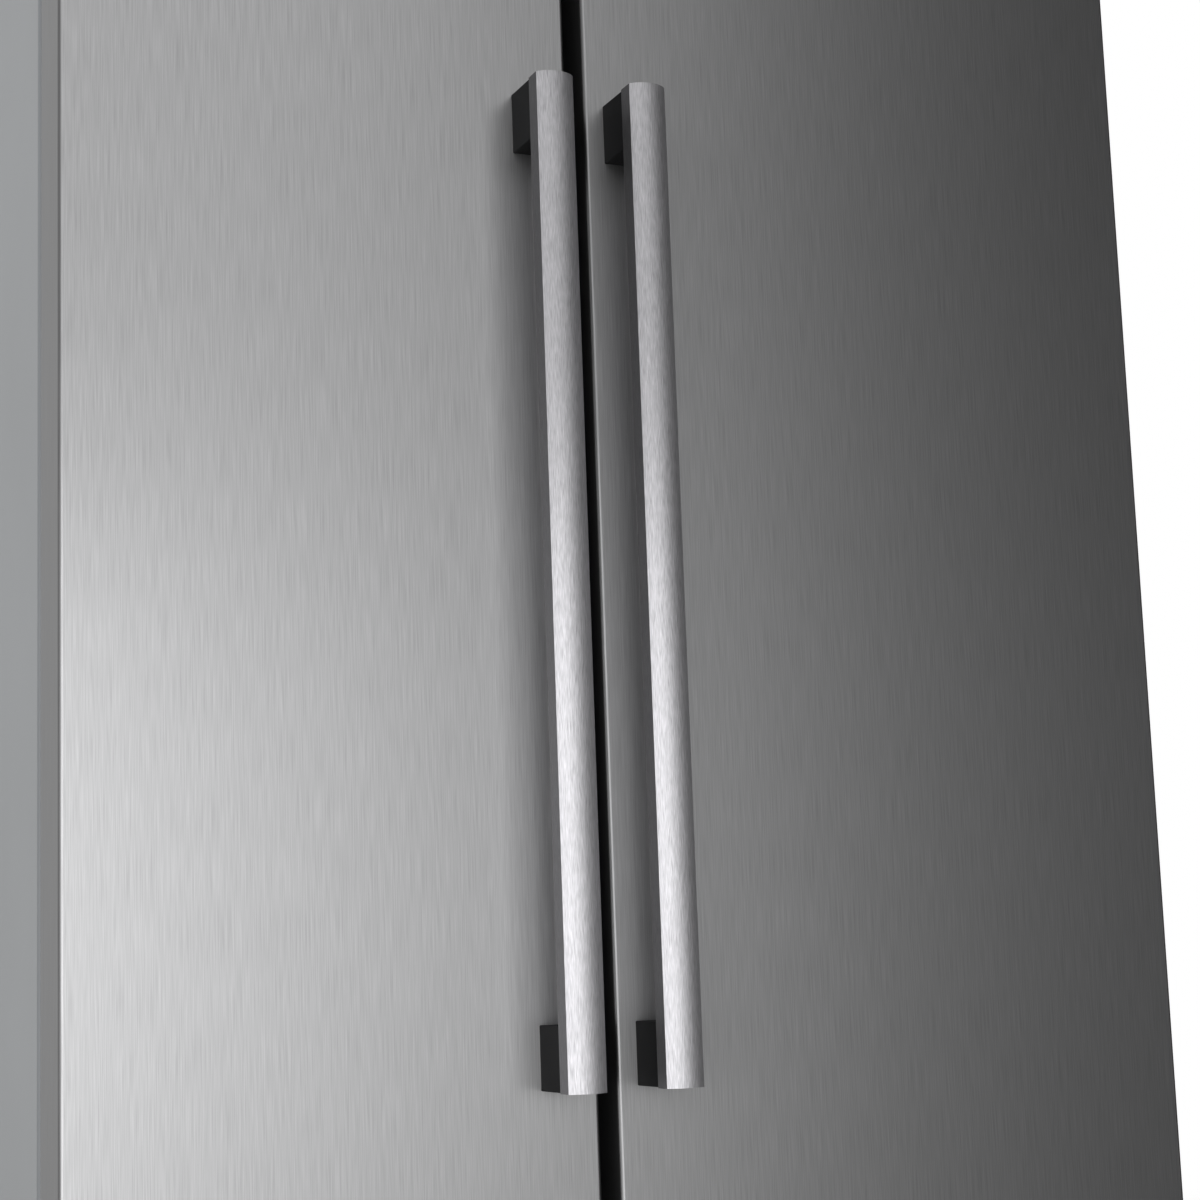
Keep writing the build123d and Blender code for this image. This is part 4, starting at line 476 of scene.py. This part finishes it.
button_blue = moulded_plastic("blue_abs", "#2F5E93", roughness=0.3, grain_mm=0.8, depth_mm=0.015)
dress(button_blue, "fast_freeze_button")
button_low, button_high = [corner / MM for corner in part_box("fast_freeze_button")]
button_to_lamp, lamp_sides = 14.0, 36
lamp_spot = Vector((button_high.x + button_to_lamp, console_low.y, (button_low.z + button_high.z) / 2))
facing_front = Matrix.Translation(lamp_spot * MM) @ Matrix.Rotation(math.pi / 2, 4, "X")
ring_profile = [(3.4, -1.0), (3.4, 0.5), (3.1, 0.8), (2.5, 0.8), (2.3, 0.4)]
ring_grey = moulded_plastic("ring_grey_abs", "#8E9396", roughness=0.35, grain_mm=0.8, depth_mm=0.01)
bm = bmesh.new()
turned(bm, ring_profile, lamp_sides, facing_front)
piece_from("lamp_ring", bm, ring_grey, "cabinet")
lens_radius, lens_foot, lens_base, lens_crown = 2.25, -0.5, 0.3, 1.1
dome_angles = [math.radians(degrees) for degrees in range(0, 90, 12)]
dome = [(lens_radius * math.cos(a), lens_base + lens_crown * math.sin(a)) for a in dome_angles]
amber = clear_moulding("amber_acrylic", "#E08A2A", roughness=0.2, ior=1.49, ripple_mm=2.0, depth_mm=0.01)
bm = bmesh.new()
turned(bm, [(lens_radius, lens_foot)] + dome, lamp_sides, facing_front)
piece_from("pilot_lens", bm, amber, "cabinet")

# Shelves
# Plates of 4 mm toughened float glass, green where one looks along them from the iron in it, pressed into
# white polystyrene trims at the front.

shelf_glass = clear_moulding("toughened_glass", "#DDEBE6", roughness=0.02, ior=1.52, ripple_mm=120.0,
                             depth_mm=0.05)
dress(shelf_glass, "fridge_shelf_glass", "freezer_shelf_glass")
dress(cover_white, "shelf_trims")

# Drawers
# Clear polystyrene mouldings, 2.5 mm thick and faintly blue, that slide out towards the doors. The mould
# leaves soft ripples, about 40 mm apart, that bend what shows through them.

clear_styrene = clear_moulding("clear_polystyrene", "#E6EFF2", roughness=0.06, ior=1.57, ripple_mm=40.0,
                               depth_mm=0.08)
dress(clear_styrene, "upper_crisper", "lower_crisper", "upper_freezer_drawer", "lower_freezer_drawer")

# Hinges, their screws and covers, and the kick grille
# Hinge plates are pressed from 4 mm steel and zinc plated, which leaves them bright. The crystals of the
# plating are too fine to see and are drawn 2 mm wide, so that they show. The covers and the grille are dark
# grey ABS with a fine matt grain.

hinge_zinc = galvanised("zinc_plated_hinge", "#BBBDBF", crystal_mm=2.0, contrast=0.08)
dress(hinge_zinc, "upper_hinges", "lower_hinges", "hinge_screws")
dark_abs = moulded_plastic("dark_grey_abs", "#27282A", roughness=0.42, grain_mm=0.9, depth_mm=0.02)
dress(dark_abs, "hinge_covers", "kick_grille")

# Door skins
# Ferritic stainless sheet, brushed up and down with a fine belt and folded round the door's edges. The
# returns at the edges are painted darker, a painted shade, as in the seam between the doors.
# The belt's lines are 0.2 mm apart; they are drawn 0.8 mm apart and 42 mm long, so that they show.


def brushed_metal(name, colour, roughness, line_mm, length_mm, tone_change, depth_mm, stretch, flank, turn,
                  back=1.0):
    """Metal brushed along Z: lines in tone and relief, and reflections spread across the lines.

    The tones of a side and of a back are shares of the front's tone: the sides get a painted shade, darker,
    and the backs a painted light, brighter. turn is how far a face has turned sideways where its painted
    shade begins, from 0 for the front to 1 for a side.
    """
    back_begins, back_reached = 0.4, 0.8
    material, tree, shader = new_material(name, {
        "Metallic": 1.0, "Roughness": roughness, "Anisotropic": stretch})
    place = add(tree, "ShaderNodeTexCoord")
    drawn = add(tree, "ShaderNodeMapping", None, {
        "Vector": place.outputs["Object"],
        "Scale": (1000 / line_mm, 1000 / line_mm, 1000 / length_mm)})
    lines = add(tree, "ShaderNodeTexNoise", None, {
        "Vector": drawn.outputs[0], "Scale": 1.0, "Detail": 2.0, "Roughness": 0.5})
    shade = add(tree, "ShaderNodeMapRange", None, {
        "Value": lines.outputs[0], "From Min": 0.25, "From Max": 0.75,
        "To Min": 1 - tone_change, "To Max": 1 + tone_change})
    face = add(tree, "ShaderNodeNewGeometry")
    facing = add(tree, "ShaderNodeSeparateXYZ", None, {0: place.outputs["Normal"]})
    sideways = add(tree, "ShaderNodeMath", {"operation": "ABSOLUTE"}, {0: facing.outputs["X"]})
    # Painted shade and painted light: faces turned sideways get a darker base colour, and faces turned back
    # a brighter one.
    painted_flank_shade = add(tree, "ShaderNodeMapRange", None, {
        "Value": sideways.outputs[0], "From Min": turn, "From Max": (1 + turn) / 2,
        "To Min": 1.0, "To Max": flank})
    painted_back_light = add(tree, "ShaderNodeMapRange", None, {
        "Value": facing.outputs["Y"], "From Min": back_begins, "From Max": back_reached,
        "To Min": 1.0, "To Max": back})
    painted_light_and_shade = add(tree, "ShaderNodeMath", {"operation": "MULTIPLY"}, {
        0: painted_flank_shade.outputs[0], 1: painted_back_light.outputs[0]})
    level = add(tree, "ShaderNodeMath", {"operation": "MULTIPLY"}, {
        0: shade.outputs[0], 1: painted_light_and_shade.outputs[0]})
    tone = add(tree, "ShaderNodeVectorMath", {"operation": "SCALE"}, {
        0: linear(colour)[:3], "Scale": level.outputs[0]})
    bump = add(tree, "ShaderNodeBump", None, {
        "Strength": 1.0, "Distance": depth_mm * MM, "Height": lines.outputs[0]})
    across = add(tree, "ShaderNodeVectorMath", {"operation": "CROSS_PRODUCT"}, {
        0: face.outputs["Normal"], 1: (0.0, 0.0, 1.0)})
    tree.links.new(tone.outputs[0], shader.inputs["Base Color"])
    tree.links.new(bump.outputs[0], shader.inputs["Normal"])
    tree.links.new(across.outputs[0], shader.inputs["Tangent"])
    return material


# The door's sides get a painted shade: 0.3 of the front's tone once they turn sideways.
stainless = brushed_metal(
    "brushed_stainless", "#ADADAE", roughness=0.37, line_mm=0.8, length_mm=42.0, tone_change=0.14,
    depth_mm=0.008, stretch=0.6, flank=0.3, turn=0.15)
dress(stainless, "freezer_door_skin", "fridge_door_skin")

# Door liners and end caps
# The inner doors are vacuum-formed white polystyrene like the compartments; the caps at the ends are dark
# grey ABS and hold the hinge bushes.

dress(liner_white, "freezer_door_liner", "fridge_door_liner")
dress(dark_abs, "freezer_door_caps", "fridge_door_caps")

# Door seals
# Extruded black elastomer, matt all over: a dart in the liner's groove, a bellows of two folds, and a flat
# pocket with the magnet strip. Four lengths are mitred and welded into a frame.

seal_rubber = moulded_plastic("black_elastomer", "#0F0F10", roughness=0.6, grain_mm=1.2, depth_mm=0.03,
                              shine=0.2)
seal_width, seal_base, seal_pocket = 12.0, 0.8, 7.6
bellows_edge, fold_depth, fold_steps = 2.2, 1.9, 16
bellows = []
for step in range(fold_steps + 1):
    depth = seal_base + (seal_pocket - seal_base) * step / fold_steps
    fold = math.sin(2 * math.pi * (depth - seal_base) / (seal_pocket - seal_base)) ** 2
    bellows.append((bellows_edge - fold_depth * fold, depth))
dart = [(4.6, 0.0), (4.6, seal_base)]
magnet_pocket = [(0.6, 7.8), (0.1, 8.3), (0.0, 9.0), (0.1, 9.9), (0.6, 10.4)]
half_seal = dart + bellows + magnet_pocket
seal_profile = half_seal + [(seal_width - across, depth) for across, depth in reversed(half_seal)]
for side in ("freezer", "fridge"):
    low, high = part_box(f"{side}_door_gasket")
    bm = bmesh.new()
    rings = []
    for across, depth in seal_profile:
        inset, y = across * MM, low.y + depth * MM
        corners = [(low.x + inset, low.z + inset), (high.x - inset, low.z + inset),
                   (high.x - inset, high.z - inset), (low.x + inset, high.z - inset)]
        rings.append([bm.verts.new((x, y, z)) for x, z in corners])
    for ring, after in zip(rings, rings[1:] + rings[:1]):
        for k in range(4):
            bm.faces.new((ring[k], ring[(k + 1) % 4], after[(k + 1) % 4], after[k]))
    bmesh.ops.recalc_face_normals(bm, faces=bm.faces)
    seal = piece_from(f"{side}_seal", bm, seal_rubber, f"{side}_door",
                      smooth_below=50.0)
    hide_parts(f"{side}_door_gasket")

# Door bins and dairy lid
# Clear polystyrene again, each bin moulded in one piece and held on its door's liner.
# The lid turns on its pins in the fridge door's top bin.

dress(clear_styrene, "dairy_lid", "freezer_door_bins", "fridge_door_bins")

# Handles
# Arched aluminium extrusions, brushed in short strokes and anodised a faint violet grey. Their flanks are
# painted darker, a painted shade, and their backs painted brighter, a painted light between bar and door.
# The brackets are near-black nylon with a fine-grained face.
# Strokes are 0.3 mm wide; they are drawn 0.5 mm wide and 9 mm long, so that they show.

# The bar's flanks get a painted shade, 0.28 of the front's tone, and its back a painted light, 2.1 times it.
bar_metal = brushed_metal(
    "brushed_anodised_aluminium", "#B2B1B4", roughness=0.4, line_mm=0.5, length_mm=9.0, tone_change=0.28,
    depth_mm=0.25, stretch=0.85, flank=0.28, turn=0.85, back=2.1)
bracket_nylon = moulded_plastic("near_black_nylon", "#111112", roughness=0.6, grain_mm=0.6, depth_mm=0.02,
                                shine=0.12)
for side in ("freezer", "fridge"):
    dress(bar_metal, f"{side}_handle_bar")
    dress(bracket_nylon, f"{side}_handle_lower_bracket", f"{side}_handle_upper_bracket")

# Floor
# A pale matt floor. It fades out into the white surround between 1.5 and 6 m from the object, so that
# it has no visible edge.

floor_half, fade_from, fade_to = 9.0, 1.5, 6.0
floor_mesh = bpy.data.meshes.new("floor")
floor_mesh.from_pydata(
    [(x * floor_half, y * floor_half, 0.0) for x, y in ((-1, -1), (1, -1), (1, 1), (-1, 1))],
    [], [(0, 1, 2, 3)])
floor = bpy.data.objects.new("floor", floor_mesh)
bpy.context.scene.collection.objects.link(floor)
floor_material, tree, shader = new_material("pale_floor", {
    "Base Color": linear("#F0F0EE"), "Roughness": 0.8, "Specular IOR Level": 0.1})
place = add(tree, "ShaderNodeTexCoord")
reach = add(tree, "ShaderNodeVectorMath", {"operation": "LENGTH"}, {0: place.outputs["Object"]})
fade = add(tree, "ShaderNodeMapRange", {"interpolation_type": "SMOOTHSTEP"}, {
    "Value": reach.outputs["Value"], "From Min": fade_from, "From Max": fade_to,
    "To Min": 1.0, "To Max": 0.0})
tree.links.new(fade.outputs[0], shader.inputs["Alpha"])
floor.data.materials.append(floor_material)

# Surround
# White where the camera, a reflection or a view through something clear meets it, and otherwise a plain
# soft light, just over half as strong.

world = bpy.data.worlds.new("studio")
bpy.context.scene.world = world
world.use_nodes = True
tree = world.node_tree
tree.nodes.clear()
ray = add(tree, "ShaderNodeLightPath")
seen = add(tree, "ShaderNodeMath", {"operation": "MAXIMUM"}, {
    0: ray.outputs["Is Camera Ray"], 1: ray.outputs["Is Glossy Ray"]})
shown = add(tree, "ShaderNodeMath", {"operation": "MAXIMUM"}, {
    0: seen.outputs[0], 1: ray.outputs["Is Transmission Ray"]})
soft_strength, white_strength = 0.55, 1.0
soft = add(tree, "ShaderNodeBackground", None, {"Color": linear("#FFFFFF"), "Strength": soft_strength})
white = add(tree, "ShaderNodeBackground", None, {"Color": linear("#FFFFFF"), "Strength": white_strength})
both = add(tree, "ShaderNodeMixShader", None, {
    0: shown.outputs[0], 1: soft.outputs[0], 2: white.outputs[0]})
add(tree, "ShaderNodeOutputWorld", None, {"Surface": both.outputs[0]})

# Lamps
# A large soft lamp lights the object from the front left. A second, low one is only seen in reflections:
# it is the bright band in the brushed metal, strongest at the handles' lower ends.


def softbox(name, bearing, distance, height, aim_height, size, power):
    """A soft lamp: bearing in degrees from straight ahead, towards the object's left."""
    lamp = bpy.data.lights.new(name, "AREA")
    lamp.shape = "RECTANGLE"
    lamp.size, lamp.size_y = size
    lamp.energy = power
    holder = bpy.data.objects.new(name, lamp)
    angle = math.radians(bearing)
    holder.location = (-distance * math.sin(angle), -distance * math.cos(angle), height)
    aim = Vector((0.0, 0.0, aim_height)) - holder.location
    holder.rotation_euler = aim.to_track_quat("-Z", "Y").to_euler()
    holder.visible_camera = False
    bpy.context.scene.collection.objects.link(holder)
    return holder


room_lamp = softbox("room_lamp", bearing=35.0, distance=4.5, height=3.2, aim_height=0.9, size=(3.0, 3.0),
                    power=95.0)
room_lamp.visible_glossy = False
low_band = softbox("low_band", bearing=35.0, distance=2.0, height=0.8, aim_height=0.85, size=(2.6, 1.25),
                   power=17.0)
low_band.visible_diffuse = False

# Dark card
# A curved dark grey card to the right of the doors, seen only in reflections, as a photographer sets one
# to give brushed steel its fall-off from left to right.

card_from, card_to, card_steps, card_distance, card_height = -18.0, -110.0, 24, 1.6, 3.6
card_mesh = bpy.data.meshes.new("dark_card")
card_points = []
for step in range(card_steps + 1):
    angle = math.radians(card_from + (card_to - card_from) * step / card_steps)
    x, y = -card_distance * math.sin(angle), -card_distance * math.cos(angle)
    card_points += [(x, y, 0.0), (x, y, card_height)]
card_mesh.from_pydata(card_points, [], [
    (2 * i, 2 * i + 2, 2 * i + 3, 2 * i + 1) for i in range(card_steps)])
card = bpy.data.objects.new("dark_card", card_mesh)
bpy.context.scene.collection.objects.link(card)
card_material = new_material("grey_card", {
    "Base Color": linear("#141414"), "Roughness": 1.0, "Specular IOR Level": 0.0,
    "Emission Color": linear("#FFFFFF"), "Emission Strength": 0.02})[0]
card.data.materials.append(card_material)
card.visible_camera = False
card.visible_diffuse = False
card.visible_transmission = False
card.visible_shadow = False

# Camera
# It stands left of the handles, a little above their lower ends, and looks slightly up, as in the
# photograph. Its place and its lens come from fitting points on the handles and the gap.

camera_place = Vector((-0.77868, -1.91465, 0.79628))
yaw, pitch, roll = (math.radians(a) for a in (24.481, 8.559, -1.993))
focal_pixels, frame_pixels, sensor_mm = 2359.748, 1200, 36.0
ahead = Vector((math.sin(yaw) * math.cos(pitch), math.cos(yaw) * math.cos(pitch), math.sin(pitch)))
level = Vector((math.cos(yaw), -math.sin(yaw), 0.0))
upright = level.cross(ahead)
right = level * math.cos(roll) + upright * math.sin(roll)
up = upright * math.cos(roll) - level * math.sin(roll)
camera_data = bpy.data.cameras.new("camera")
camera_data.sensor_width = sensor_mm
camera_data.lens = focal_pixels / frame_pixels * sensor_mm
camera_data.clip_start, camera_data.clip_end = 0.05, 60.0
camera = bpy.data.objects.new("camera", camera_data)
bpy.context.scene.collection.objects.link(camera)
camera.matrix_world = Matrix.Translation(camera_place) @ Matrix((right, up, -ahead)).transposed().to_4x4()
bpy.context.scene.camera = camera
bpy.context.scene.view_settings.view_transform = "Standard"
